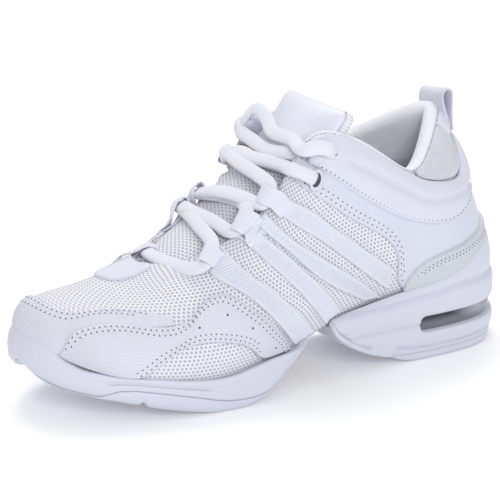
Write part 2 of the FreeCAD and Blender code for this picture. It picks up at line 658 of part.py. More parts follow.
def build_lace_loops():
    """Webbing rings at the top of the straps, which hold the lace."""
    for side, stations in LACE_LOOPS.items():
        rings = []
        for number, station in enumerate(stations):
            centre, axis = loop_frame(station)
            start = centre - axis * (size("loop_length") / 2)
            placement = FreeCAD.Placement(start, FreeCAD.Rotation(Vector(0, 0, 1), axis))
            tubes = []
            for kind, growth in (("outer", "+ Sizes.webbing_thick"), ("inner", "")):
                tube = doc.addObject("Part::Cylinder", "loop_%s_%s_%d" % (kind, side, number))
                tube.setExpression("Radius", "Sizes.loop_inner_radius " + growth)
                tube.setExpression("Height", "Sizes.loop_length")
                tube.Placement = placement
                tubes.append(tube)
            ring = doc.addObject("Part::Cut", "loop_ring_%s_%d" % (side, number))
            ring.Base, ring.Tool = tubes
            rings.append(ring)
        group = doc.addObject("Part::Compound", "lace_loops_" + side)
        group.Label = "lace_loops_" + side
        group.Links = rings
    doc.recompute()


def rounded_path(points, limits):
    """Wire of straight runs joined by tangent arcs; limits caps the radius at given points."""
    edges, radii = [], []
    here = points[0]
    for i in range(1, len(points) - 1):
        back, ahead = points[i - 1] - points[i], points[i + 1] - points[i]
        turn = math.pi - back.getAngle(ahead)
        shorter = min(back.Length, ahead.Length)
        radius = min(0.45 * shorter / math.tan(turn / 2), limits.get(i, 1e9))
        reach = radius * math.tan(turn / 2)
        start = points[i] + back.normalize() * reach
        end = points[i] + ahead.normalize() * reach
        bisector = (back + ahead).normalize()
        centre = points[i] + bisector * (radius / math.cos(turn / 2))
        middle = centre - bisector * radius
        edges.append(Part.LineSegment(here, start).toShape())
        edges.append(Part.Arc(start, middle, end).toShape())
        radii.append(round(radius, 1))
        here = end
    edges.append(Part.LineSegment(here, points[-1]).toShape())
    return Part.Wire(edges), radii


def round_tube(wire, diameter):
    start = wire.Edges[0].Vertexes[0].Point
    direction = wire.Edges[0].tangentAt(wire.Edges[0].FirstParameter)
    circle = Part.Wire([Part.Circle(start, direction, diameter / 2).toShape()])
    tube = wire.makePipeShell([circle], True, False)
    expected = math.pi * (diameter / 2) ** 2 * wire.Length
    assert abs(tube.Volume / expected - 1) < 0.02, "the tube does not follow its path"
    return tube


EYELET_EDGES = {"lateral": [4.66, 4.40], "medial": [11.34, 11.60]}
CROSSINGS = [0.17, 0.27, 0.35, 0.42, 0.49, 0.56, 0.63, 0.69, 0.76]


def loop_stop(side, number):
    """Route through a webbing loop: in at its toe end and out at its heel end."""
    centre, axis = loop_frame(LACE_LOOPS[side][number])
    upward = axis if axis.z > 0 else axis * -1
    reach = size("loop_length") / 2 + 1.4 * size("lace_diameter")
    return [centre - upward * reach, centre + upward * reach]


def eyelet_stop(side, number):
    """Route over the throat's edge and down through an eyelet to the inside."""
    station, level = EYELETS[side][number]
    above = 2 * size("leather_thick") + GAP + size("lace_diameter") / 2 + 2.0
    below = LINING_FACE - size("lace_diameter") / 2 - 1.4
    up = tangents(EYELET_EDGES[side][number], 3.98)[1]
    return [skin_point(EYELET_EDGES[side][number], 3.98, above) + up * 4.0, skin_point(station, level, above),
            skin_point(station, level, below)]


def lace_route():
    """Zigzag: across from each medial holder to its lateral one, then up to the next."""
    fold = size("lace_diameter")
    stops = []
    for number in range(3):
        stops += [loop_stop("medial", number), loop_stop("lateral", number)]
    for number in range(2):
        stops += [eyelet_stop("medial", number), eyelet_stop("lateral", number)]
    points, limits = [], {}
    for number, stop in enumerate(stops):
        for point in stop:
            limits[len(points)] = fold
            points.append(point)
        if number < len(CROSSINGS):
            points.append(tongue_point(0.0, CROSSINGS[number], -4.6))
    centre, axis = loop_frame(LACE_LOOPS["medial"][0])
    points[1] = points[0]
    points[0] = centre * 1.25 - points[1] * 0.25
    points.append(skin_point(4.05, 2.75, LINING_FACE - 4.0))
    return points, limits


def build_lace():
    points, limits = lace_route()
    wire, radii = rounded_path(points, limits)
    print("lace bend radii:", radii, "length", round(wire.Length, 1))
    add_feature("lace", round_tube(wire, size("lace_diameter")))
    end = points[-1]
    direction = (end - points[-2]).normalize()
    aglet = doc.addObject("Part::Cylinder", "lace_aglet")
    aglet.setExpression("Radius", "Sizes.lace_diameter / 2 - 0.3")
    aglet.setExpression("Height", "Sizes.aglet_length")
    aglet.Placement = FreeCAD.Placement(end, FreeCAD.Rotation(Vector(0, 0, 1), direction))


build_base_layers()
build_overlays()
build_tongue()
build_insole()
build_forefoot_sole()
build_heel_sole()
build_heel_tread()
build_air_cushion()
build_pull_loop()
build_lace_loops()
build_lace()
doc.recompute()

# ---------------------------------------------------------------- checks and export
pieces = [item for item in doc.Objects
          if item.TypeId in ("PartDesign::Body", "Part::Feature", "Part::Compound")]
pieces.append(doc.getObject("lace_aglet"))
for item in doc.Objects:
    assert not {"Invalid", "Error"} & set(item.State), item.Label + " failed"
os.makedirs("parts", exist_ok=True)
for item in pieces:
    shape = item.Shape
    assert not shape.isNull() and shape.isValid(), item.Label + " is not a valid shape"
    assert shape.Solids and shape.Volume > 0, item.Label + " is not a solid"
    shape.exportStep("parts/%s.step" % item.Label)
    box = shape.BoundBox
    print("%-26s %7.0f mm3  x %6.1f..%6.1f  y %6.1f..%6.1f  z %6.1f..%6.1f" % (
        item.Label, shape.Volume, box.XMin, box.XMax, box.YMin, box.YMax, box.ZMin, box.ZMax))
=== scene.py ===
# Cheer shoe: the visual pieces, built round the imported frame. Lengths are in millimetres until a mesh is
# made of them.
import math
import bmesh
import bpy
import numpy as np
from mathutils import Matrix, Vector


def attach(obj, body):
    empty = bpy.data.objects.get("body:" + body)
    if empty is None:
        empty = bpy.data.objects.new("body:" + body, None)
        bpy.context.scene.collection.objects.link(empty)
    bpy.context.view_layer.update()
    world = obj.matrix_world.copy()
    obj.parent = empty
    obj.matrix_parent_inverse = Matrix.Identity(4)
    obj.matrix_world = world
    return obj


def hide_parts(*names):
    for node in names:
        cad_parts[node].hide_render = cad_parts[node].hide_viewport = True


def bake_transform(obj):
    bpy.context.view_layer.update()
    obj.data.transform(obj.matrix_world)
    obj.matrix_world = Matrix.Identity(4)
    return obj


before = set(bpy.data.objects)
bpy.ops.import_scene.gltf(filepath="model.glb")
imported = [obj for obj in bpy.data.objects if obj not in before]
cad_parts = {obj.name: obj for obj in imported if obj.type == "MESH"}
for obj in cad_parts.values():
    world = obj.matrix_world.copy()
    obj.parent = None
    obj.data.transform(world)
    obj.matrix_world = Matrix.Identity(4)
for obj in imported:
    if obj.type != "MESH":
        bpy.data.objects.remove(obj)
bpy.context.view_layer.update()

MM = 0.001
REAR, FORE = "rearfoot", "forefoot"
MIDDLE = Vector((0, 0, 0.060))  # in metres
FLOOR_REACH = 4000


# ---------------------------------------------------------------- camera, floor and light
def aim(azimuth, elevation):
    """Unit vector towards an azimuth and elevation; azimuth 0 is in front of the lateral side."""
    a, e = math.radians(azimuth), math.radians(elevation)
    return Vector((math.sin(a) * math.cos(e), -math.cos(a) * math.cos(e), math.sin(e)))


def facing(back):
    """Rotation whose -Z looks along -back with no roll."""
    right = Vector((0, 0, 1)).cross(back).normalized()
    up = back.cross(right)
    return Matrix((right, up, back)).transposed().to_euler()


def looking(name, data, back, distance, target=MIDDLE):
    """Adds a camera or light that looks at the target, from a distance in metres along a unit vector."""
    viewer = bpy.data.objects.new(name, data)
    viewer.location = target + back * distance
    viewer.rotation_euler = facing(back)
    bpy.context.collection.objects.link(viewer)
    return viewer


def build_camera():
    data = bpy.data.cameras.new("camera")
    data.sensor_width = 36.0
    data.lens = 224.3
    back = aim(-31, 17.4)
    right = Vector((0, 0, 1)).cross(back).normalized()
    target = MIDDLE - right * 0.0052 - back.cross(right) * 0.0006
    bpy.context.scene.camera = looking("camera", data, back, 1.5, target)


def area_light(name, azimuth, elevation, distance, width, power):
    data = bpy.data.lights.new(name, "AREA")
    data.shape = "SQUARE"
    data.size = width
    data.energy = power
    looking(name, data, aim(azimuth, elevation), distance)


def build_studio():
    world = bpy.data.worlds.new("studio")
    world.use_nodes = True
    background = world.node_tree.nodes["Background"]
    background.inputs["Color"].default_value = (1.0, 1.0, 1.0, 1)
    background.inputs["Strength"].default_value = 0.68
    bpy.context.scene.world = world
    bpy.context.scene.view_settings.view_transform = "Standard"
    area_light("key_light", 160, 60, 1.3, 0.8, 8.0)
    area_light("fill_light", -18, 26, 1.4, 0.5, 7.0)
    corners = [(x, y, 0.0) for x in (-FLOOR_REACH, FLOOR_REACH) for y in (-FLOOR_REACH, FLOOR_REACH)]
    mesh_object("floor", corners, [(0, 2, 3, 1)], "floor")


# ---------------------------------------------------------------- meshes
def close_up(mesh):
    """Joins doubled points of a closed mesh and turns every face outwards."""
    work = bmesh.new()
    work.from_mesh(mesh)
    bmesh.ops.remove_doubles(work, verts=work.verts, dist=1e-6)
    bmesh.ops.recalc_face_normals(work, faces=work.faces)
    work.to_mesh(mesh)
    work.free()


def mesh_object(name, points, faces, material, weave=None):
    """Object from points in millimetres, with a key of MATERIAL; weave holds two lengths for each point."""
    mesh = bpy.data.meshes.new(name)
    mesh.from_pydata((np.asarray(points) * MM).tolist(), [], [list(map(int, face)) for face in faces])
    if weave is not None:
        layer = mesh.uv_layers.new(name="weave")
        corners = np.empty(len(mesh.loops), dtype=np.int64)
        mesh.loops.foreach_get("vertex_index", corners)
        layer.data.foreach_set("uv", (np.asarray(weave)[corners] * MM).ravel())
    close_up(mesh)
    mesh.polygons.foreach_set("use_smooth", [True] * len(mesh.polygons))
    mesh.materials.append(MATERIAL[material])
    piece = bpy.data.objects.new(name, mesh)
    bpy.context.collection.objects.link(piece)
    return piece


def quads(index, flip=False):
    """Faces between neighbours in a grid of point numbers."""
    a, b, c, d = index[:-1, :-1], index[1:, :-1], index[1:, 1:], index[:-1, 1:]
    return np.stack([corner.ravel() for corner in ((a, d, c, b) if flip else (a, b, c, d))], axis=1)


def shell_object(name, outer, inner, material, weave, around=False):
    """Closed piece between two grids of points; around means the first axis is a full turn."""
    count = outer.shape[0] * outer.shape[1]
    index = np.arange(count).reshape(outer.shape[:2])
    if around:
        index = np.vstack([index, index[:1]])
    faces = [quads(index), quads(index + count, flip=True)]
    edges = [(index[:, 0], False), (index[:, -1], True)]
    if not around:
        edges += [(index[0], True), (index[-1], False)]
    for line, flip in edges:
        a, b = line[:-1], line[1:]
        order = (a, b, b + count, a + count) if flip else (a, a + count, b + count, b)
        faces.append(np.stack(order, axis=1))
    points = np.concatenate([outer.reshape(-1, 3), inner.reshape(-1, 3)])
    flat = weave.reshape(-1, 2)
    return mesh_object(name, points, np.concatenate(faces), material, np.concatenate([flat, flat]))


def ring_object(name, points, material, weave, around=False):
    """Closed piece from a grid whose rows are rings; the rows join in a full turn (around) or are capped."""
    index = np.arange(points.shape[0] * points.shape[1]).reshape(points.shape[:2])
    closed = np.hstack([index, index[:, :1]])
    if around:
        faces = quads(np.vstack([closed, closed[:1]])).tolist()
    else:
        faces = quads(closed).tolist() + [index[0].tolist(), index[-1].tolist()]
    return mesh_object(name, points.reshape(-1, 3), faces, material, weave.reshape(-1, 2))


# ---------------------------------------------------------------- the lasted form
# Loops from the feather line (level 0) to the top line (4). The 16 stations of a turn run from the heel's
# middle (0) past the lateral instep (4) and the toe (8) to the medial instep (12).
TURN, TOP_LINE = 16, 4
# About the length of one station and of one level, and a small part of either.
STATION_RUN, LEVEL_RISE, NUDGE = 30.0, 20.0, 0.02
LOOPS = np.array([
    [(122, -3, 46), (116, -18, 44), (92, -28.5, 37), (58, -29, 34), (22, -32.5, 29.6), (-12, -37.5, 18.6),
     (-55, -42.5, 14.2), (-103, -29, 22.4), (-127, 4, 36), (-107, 28, 23), (-65, 42.5, 14.8),
     (-20, 37.5, 17.6), (15, 28.5, 28), (55, 25, 34), (92, 24.5, 37), (116, 13, 44)],
    [(118.5, -3, 64), (113, -18, 62), (91, -31, 58), (58, -33.5, 54), (22, -37, 48), (-12, -42, 36),
     (-55, -45, 28), (-106, -30, 33), (-127.5, 4, 45), (-110, 27.5, 33), (-66, 44, 28), (-20, 41, 36),
     (15, 33, 48), (55, 28.5, 54), (91, 26.5, 58), (113, 13, 62)],
    [(112.5, -3, 82), (107, -17, 80), (87, -30, 76), (57, -32, 73), (22, -35, 68), (-11, -39, 53),
     (-53, -41, 45), (-101, -25, 46), (-119.5, 5, 53.5), (-104, 24, 45), (-62, 37, 44), (-19, 37, 52),
     (16, 32, 66), (55, 28, 73), (87, 25, 77), (107, 12, 80)],
    [(105.5, -3, 101), (99, -15.5, 98), (81, -27, 89), (55, -31, 90), (20, -33, 95), (-10, -33, 73),
     (-48, -32, 59), (-86, -17, 54), (-97, 5, 57.2), (-88, 20, 51.5), (-54, 29, 56), (-16, 33, 71),
     (17, 31, 92), (54, 28, 91), (79, 23, 95), (98, 11, 99)],
    [(97, -3, 119), (90, -14, 112), (73, -25.5, 96), (50, -29, 106), (13, -29, 122), (-9, -26, 94),
     (-41, -21, 71.5), (-59, -11, 65.5), (-66, 3, 63.5), (-58, 16, 64), (-38, 25, 69), (-4, 28, 87),
     (16, 30, 118), (48, 28, 106), (70, 23, 105), (88, 10, 115)],
], dtype=float)


def bending(knots, closed):
    """Second derivatives, at evenly spaced knots, of the cubic spline through each unit vector."""
    left, right = np.eye(knots), np.zeros((knots, knots))
    for i in range(knots):
        if closed or 0 < i < knots - 1:
            before, after = (i - 1) % knots, (i + 1) % knots
            left[i, i] = 4
            left[i, before] += 1
            left[i, after] += 1
            right[i, before] += 6
            right[i, i] -= 12
            right[i, after] += 6
    return np.linalg.solve(left, right)


def spline_weights(place, table, closed):
    """Weight of each knot at each place, for a cubic spline with the table of bending()."""
    knots = len(table)
    place = np.mod(place, knots) if closed else place
    start = np.clip(np.floor(place).astype(int), 0, knots - 1 if closed else knots - 2)
    end = (start + 1) % knots
    far = place - start
    near = 1 - far
    unit = np.eye(knots)
    return (near[:, None] * unit[start] + far[:, None] * unit[end]
            + ((near ** 3 - near)[:, None] * table[start] + (far ** 3 - far)[:, None] * table[end]) / 6)


AROUND, UPWARD = bending(TURN, True), bending(TOP_LINE + 1, False)


def form(station, level):
    """Points of the form's surface."""
    station, level = np.broadcast_arrays(np.asarray(station, float), np.asarray(level, float))
    around = spline_weights(station.ravel(), AROUND, True)
    upward = spline_weights(level.ravel(), UPWARD, False)
    return np.einsum("nl,ns,lsc->nc", upward, around, LOOPS).reshape(station.shape + (3,))


def unit(vectors):
    return vectors / np.maximum(np.linalg.norm(vectors, axis=-1, keepdims=True), 1e-9)


def skin_frame(station, level):
    """Unit vectors of the form: along the stations, up the levels and outwards."""
    level = np.clip(level, 0, TOP_LINE)
    along = unit(form(station + NUDGE, level) - form(station - NUDGE, level))
    above, below = np.minimum(level + NUDGE, TOP_LINE), np.maximum(level - NUDGE, 0)
    up = unit(form(station, above) - form(station, below))
    return along, up, unit(np.cross(up, along))


def skin(station, level, height):
    """Points at a height over the form; a level over the top line goes on upwards past it."""
    base = np.clip(level, 0, TOP_LINE)
    _, up, out = skin_frame(station, base)
    past = (np.asarray(level) - base)[..., None] * LEVEL_RISE
    return form(station, base) + out * np.asarray(height)[..., None] + up * past


def curve_through(points, count=None, at=None):
    """Natural cubic spline through points, spaced by length; count samples or the given fractions."""
    points = np.asarray(points, float)
    scale = np.array([STATION_RUN, LEVEL_RISE]) if points.shape[1] == 2 else 1.0
    knots = np.concatenate([[0], np.cumsum(np.linalg.norm(np.diff(points, axis=0) * scale, axis=1))])
    knots /= knots[-1]
    at = np.linspace(0, 1, count) if at is None else np.asarray(at)
    n = len(points)
    gaps = np.diff(knots)
    left, right = np.eye(n), np.zeros((n, points.shape[1]))
    for i in range(1, n - 1):
        left[i, i - 1:i + 2] = gaps[i - 1], 2 * (gaps[i - 1] + gaps[i]), gaps[i]
        right[i] = 6 * ((points[i + 1] - points[i]) / gaps[i] - (points[i] - points[i - 1]) / gaps[i - 1])
    second = np.linalg.solve(left, right)
    k = np.clip(np.searchsorted(knots, at, side="right") - 1, 0, n - 2)
    gap = gaps[k][:, None]
    far = (at - knots[k])[:, None] / gap
    near = 1 - far
    return (near * points[k] + far * points[k + 1]
            + ((near ** 3 - near) * second[k] + (far ** 3 - far) * second[k + 1]) * gap ** 2 / 6)


def smooth_step(value, low, high):
    share = np.clip((value - low) / (high - low), 0, 1)
    return share * share * (3 - 2 * share)


def edged(length, step):
    """Fractions of a length, closer together near both ends."""
    edge = [e for e in (0.0, 0.25, 0.6, 1.05, 1.6, 2.3) if e < 0.35 * length]
    middle = np.linspace(edge[-1], length - edge[-1], max(int((length - 2 * edge[-1]) / step), 2) + 1)
    return np.concatenate([edge[:-1], middle, [length - e for e in edge[:-1]][::-1]]) / length


def lengths_along(points, axis):
    """Length from the first point to each one along an axis of a grid."""
    gaps = np.linalg.norm(np.diff(points, axis=axis), axis=-1)
    zero = np.zeros_like(np.take(gaps, [0], axis=axis))
    return np.concatenate([zero, np.cumsum(gaps, axis=axis)], axis=axis)


def weave_of(points):
    """Lengths both ways over a grid of points."""
    return np.stack([lengths_along(points, 0), lengths_along(points, 1)], axis=-1)


ACROSS = np.linspace(0, 1, 9)


class Patch:
    """Places, lengths and edge distances of a sheet between two rails of (station, level)."""

    def __init__(self, rail_a, rail_b, step=1.6, across_step=1.6):
        self.rails = rail_a, rail_b
        probe = self.places(np.linspace(0, 1, 60), ACROSS)
        points = form(probe[..., 0], probe[..., 1])
        length = lengths_along(points, 0)[-1].mean()
        width = lengths_along(points, 1)[:, -1].mean()
        grid = self.places(edged(length, step), edged(width, across_step))
        self.s, self.t = grid[..., 0], grid[..., 1]
        points = form(self.s, self.t)
        self.weave = weave_of(points)
        self.u, self.v = self.weave[..., 0], self.weave[..., 1]
        self.u_end, self.v_end = self.u[-1:], self.v[:, -1:]
        self.edge = np.minimum.reduce([self.u, self.u_end - self.u, self.v, self.v_end - self.v])

    def places(self, along, across):
        """Places at fractions along the rails and across from the first to the last."""
        first, last = [curve_through(rail, at=along) for rail in self.rails]
        grid = first[:, None] + (last - first)[:, None] * across[None, :, None]
        grid[..., 1] = np.clip(grid[..., 1], 0, TOP_LINE)
        return grid

    def heights(self, base, thick, rounding=1.3, puff=0.0, puff_reach=7.0):
        """Outer face over the form: rounded down at the edges and puffed up between them."""
        near = 1 - np.clip(self.edge / rounding, 0, 1)
        high = base + thick * np.sqrt(1 - near ** 2)
        return high + puff * (1 - (1 - np.clip(self.edge / puff_reach, 0, 1)) ** 2)

    def row(self, distance, start=0.0, end=1.0, far=False):
        """Places along the sheet at a distance from its first rail, or from its last rail if far."""
        along = np.linspace(start, end, 160)
        ends = self.places(along, np.array([0.0, 1.0]))
        probe = self.places(along, ACROSS)
        width = lengths_along(form(probe[..., 0], probe[..., 1]), 1)[:, -1:]
        share = np.clip(distance / width, 0, 1)
        share = 1 - share if far else share
        return ends[:, 0] + (ends[:, 1] - ends[:, 0]) * share


def turned(rail, side):
    """A lateral rail, or its mirror image for the medial side."""
    return [(TURN - s, t) for s, t in rail] if side == "medial" else list(rail)


def both_ways(rail):
    """Rail that runs up to the middle line and back down the other side."""
    middle = rail[-1][0]
    return list(rail) + [(2 * middle - s, t) for s, t in rail[-2::-1]]


def soft(piece, *nodes, slot=None):
    """A piece of the upper, baked into world space, that stands for the CAD nodes named."""
    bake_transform(piece)
    return finish_piece(piece, nodes)


def fixed(piece, body, *nodes, slot=None):
    """A piece that rides on one body and stands for the CAD nodes named."""
    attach(piece, body)
    return finish_piece(piece, nodes)


def finish_piece(piece, nodes):
    if nodes:
        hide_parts(*nodes)
    return piece


def sheet_piece(name, patch, heights, material, base=None):
    """Closed piece whose outer face stands at the heights; its underside is a little below its edge."""
    low = heights.min() - 0.5 if base is None else base
    outer = skin(patch.s, patch.t, heights)
    inner = skin(patch.s, patch.t, np.full_like(heights, low))
    return shell_object(name, outer, inner, material, patch.weave)


# ---------------------------------------------------------------- materials
def shade(colour, share):
    return tuple(c * share for c in colour)


class Finish:
    """A material whose patterns are worked out from the weave lengths or from the place on the object."""

    def __init__(self, name, colour, roughness, **sockets):
        self.material = bpy.data.materials.new(name)
        self.material.use_nodes = True
        self.nodes, self.links = self.material.node_tree.nodes, self.material.node_tree.links
        self.shader = self.nodes["Principled BSDF"]
        self.colour = colour
        self.shader.inputs["Base Color"].default_value = (*colour, 1)
        self.shader.inputs["Roughness"].default_value = roughness
        for socket, value in sockets.items():
            self.shader.inputs[socket.replace("_", " ")].default_value = value
        self.bump = None

    def node(self, kind, *values, **settings):
        node = self.nodes.new(kind)
        for key, value in settings.items():
            setattr(node, key, value)
        for socket, value in enumerate(values):
            self.plug(node.inputs[socket], value)
        return node

    def plug(self, socket, value):
        if isinstance(value, bpy.types.NodeSocket):
            self.links.new(value, socket)
        elif value is not None:
            socket.default_value = value

    def math(self, operation, *values):
        return self.node("ShaderNodeMath", *values, operation=operation).outputs[0]

    def weave(self):
        """The two weave lengths, in millimetres."""
        place = self.node("ShaderNodeUVMap", uv_map="weave").outputs[0]
        parts = self.node("ShaderNodeSeparateXYZ", place)
        return [self.math("MULTIPLY", parts.outputs[i], 1000.0) for i in (0, 1)]

    def place(self):
        """Place on the object, in metres."""
        return self.node("ShaderNodeTexCoord").outputs["Object"]

    def noise(self, scale, detail=3.0):
        texture = self.node("ShaderNodeTexNoise", self.place())
        texture.inputs["Scale"].default_value = scale
        texture.inputs["Detail"].default_value = detail
        return texture.outputs[0]

    def mix(self, share, first, second):
        """Colour mix; a colour is a triple or a socket."""
        node = self.node("ShaderNodeMix", data_type="RGBA")
        self.plug(node.inputs[0], share)
        for socket, value in ((6, first), (7, second)):
            self.plug(node.inputs[socket], value if isinstance(value, bpy.types.NodeSocket) else (*value, 1))
        return node.outputs[2]

    def range(self, value, low, high, to_low=0.0, to_high=1.0):
        return self.node("ShaderNodeMapRange", value, low, high, to_low, to_high).outputs[0]

    def paint(self, colour):
        self.links.new(colour, self.shader.inputs["Base Color"])

    def rough(self, value):
        self.links.new(value, self.shader.inputs["Roughness"])

    def raise_by(self, height, depth_mm, strength):
        """Adds a height pattern from 0 to 1, that deep in millimetres, to the surface."""
        node = self.node("ShaderNodeBump")
        node.inputs["Strength"].default_value = strength
        node.inputs["Distance"].default_value = depth_mm * MM
        self.links.new(height, node.inputs["Height"])
        if self.bump:
            self.links.new(self.bump, node.inputs["Normal"])
        self.bump = node.outputs[0]
        self.links.new(self.bump, self.shader.inputs["Normal"])

    def wave(self, length, pitch):
        """Ridge pattern from 0 to 1 that repeats along a length."""
        turn = self.math("MULTIPLY", length, 2 * math.pi / pitch)
        return self.math("MULTIPLY_ADD", self.math("SINE", turn), 0.5, 0.5)

    def holes(self, pitch, radius, soft_edge):
        """Staggered round holes: 1 in a hole and 0 between holes."""
        u, v = self.weave()
        tall = pitch * math.sqrt(3.0)
        distances = []
        for shift in (0.0, 0.5):
            parts = []
            for length, spacing in ((u, pitch), (v, tall)):
                cell = self.math("FRACT", self.math("MULTIPLY_ADD", length, 1.0 / spacing, 100.0 + shift))
                parts.append(self.math("MULTIPLY", self.math("SUBTRACT", cell, 0.5), spacing))
            squares = [self.math("MULTIPLY", part, part) for part in parts]
            distances.append(self.math("SQRT", self.math("ADD", *squares)))
        near = self.math("MINIMUM", *distances)
        return self.range(near, radius + soft_edge, radius - soft_edge)

    def scales(self, pitch, slant):
        """Woven grain: small raised lozenges in slanted rows, from 0 to 1."""
        u, v = self.weave()
        first = self.math("ADD", u, self.math("MULTIPLY", v, slant))
        second = self.math("SUBTRACT", u, self.math("MULTIPLY", v, slant))
        return self.math("MULTIPLY", self.wave(first, pitch * 2), self.wave(second, pitch * 2))

    def cloudy(self, amount, scale=60.0):
        """Slight unevenness of the colour, as a colour socket."""
        return self.mix(self.range(self.noise(scale), 0.3, 0.7), self.colour, shade(self.colour, 1 - amount))


def smooth_leather(name, colour):
    finish = Finish(name, colour, 0.42, Specular_IOR_Level=0.45, Coat_Weight=0.06, Coat_Roughness=0.35)
    finish.paint(finish.cloudy(0.03))
    finish.raise_by(finish.noise(900.0, 5.0), 0.05, 0.5)
    finish.rough(finish.range(finish.noise(160.0), 0.3, 0.7, 0.36, 0.5))
    return finish.material


def grained_leather(name, colour):
    finish = Finish(name, colour, 0.5, Specular_IOR_Level=0.45)
    grain = finish.scales(1.0, 1.4)
    finish.paint(finish.mix(finish.range(grain, 0.0, 0.45), shade(colour, 0.84), finish.cloudy(0.02)))
    finish.raise_by(grain, 0.22, 0.9)
    finish.rough(finish.range(grain, 0.0, 1.0, 0.6, 0.42))
    return finish.material


def open_mesh(name, colour, depth):
    """Mesh with staggered holes, painted darker as shade in them; that painted shade is fainter towards the
    toe.
    """
    finish = Finish(name, colour, 0.85, Sheen_Weight=0.25, Sheen_Roughness=0.5)
    hole = finish.holes(2.2, 0.56, 0.16)
    place_x = finish.node("ShaderNodeSeparateXYZ", finish.place()).outputs[0]
    # The holes are painted darker by the depth share: painted shade in them, fainter towards the toe.
    share = finish.math("MULTIPLY", hole, finish.range(place_x, -0.115, -0.065, 0.45, 1.0))
    finish.paint(finish.mix(share, finish.cloudy(0.03, 140.0), shade(colour, 1 - depth)))
    u, v = finish.weave()
    thread = finish.math("MULTIPLY", finish.wave(u, 0.55), finish.wave(v, 0.55))
    finish.raise_by(thread, 0.08, 0.6)
    finish.raise_by(finish.math("SUBTRACT", 1.0, hole), 0.5, 0.9)
    return finish.material


def webbing(name, colour, pitch_u, pitch_v):
    finish = Finish(name, colour, 0.8, Sheen_Weight=0.3, Sheen_Roughness=0.45)
    u, v = finish.weave()
    thread = finish.math("MULTIPLY", finish.wave(u, pitch_u), finish.wave(v, pitch_v))
    finish.paint(finish.mix(finish.range(thread, 0.0, 0.6), shade(colour, 0.86), finish.cloudy(0.02)))
    finish.raise_by(thread, 0.2, 0.8)
    return finish.material


def twill(name, colour, pitch=0.9):
    finish = Finish(name, colour, 0.82, Sheen_Weight=0.35, Sheen_Roughness=0.4)
    u, v = finish.weave()
    slant = finish.wave(finish.math("ADD", u, v), pitch)
    back = finish.wave(finish.math("SUBTRACT", u, v), pitch * 0.7)
    thread = finish.math("MULTIPLY", slant, back)
    finish.paint(finish.mix(finish.range(thread, 0.0, 0.5), shade(colour, 0.93), finish.cloudy(0.02)))
    finish.raise_by(thread, 0.09, 0.6)
    return finish.material


def knit(name, colour, pitch, depth):
    """Rows of small stitches with a pin hole between them; the pin holes are painted darker as shade in them.
    """
    finish = Finish(name, colour, 0.88, Sheen_Weight=0.4, Sheen_Roughness=0.5)
    hole = finish.holes(pitch, pitch * 0.17, pitch * 0.12)
    # The pin holes are painted darker by the depth share: painted shade in them.
    finish.paint(finish.mix(hole, finish.cloudy(0.03, 120.0), shade(colour, 1 - depth)))
    finish.raise_by(finish.wave(finish.weave()[1], pitch * 0.866), 0.12, 0.6)
    finish.raise_by(finish.math("SUBTRACT", 1.0, hole), 0.2, 0.7)
    return finish.material


def moulded(name, colour, roughness=0.5):
    finish = Finish(name, colour, roughness, Specular_IOR_Level=0.4, Subsurface_Weight=0.08,
                    Subsurface_Radius=(0.004, 0.004, 0.0045), Subsurface_Scale=1.0)
    finish.paint(finish.cloudy(0.025, 30.0))
    finish.raise_by(finish.noise(1400.0, 2.0), 0.03, 0.4)
    finish.rough(finish.range(finish.noise(90.0), 0.3, 0.7, roughness - 0.06, roughness + 0.06))
    return finish.material


def plain_finish(name, colour, roughness, grain=300.0, **sockets):
    finish = Finish(name, colour, roughness, **sockets)
    finish.paint(finish.cloudy(0.05, grain))
    finish.raise_by(finish.noise(grain * 3), 0.05, 0.3)
    return finish.material


def painted_light_sheet(name, dark, light):
    """Dark sheet in the heel window, painted with light: painted shade towards the front of the window, paler
    painted light low down and a painted highlight towards the back.
    """
    finish = Finish(name, dark, 0.5, Specular_IOR_Level=0.2)
    parts = finish.node("ShaderNodeSeparateXYZ", finish.place()).outputs
    # Painted light over the dark painted shade: paler towards the back (a painted highlight) and paler low
    # down.
    back = finish.range(parts[0], 0.094, 0.112, 0.0, 0.95)
    low = finish.range(parts[2], 0.0185, 0.0155, 0.0, 0.5)
    finish.paint(finish.mix(finish.math("MAXIMUM", back, low), dark, light))
    return finish.material


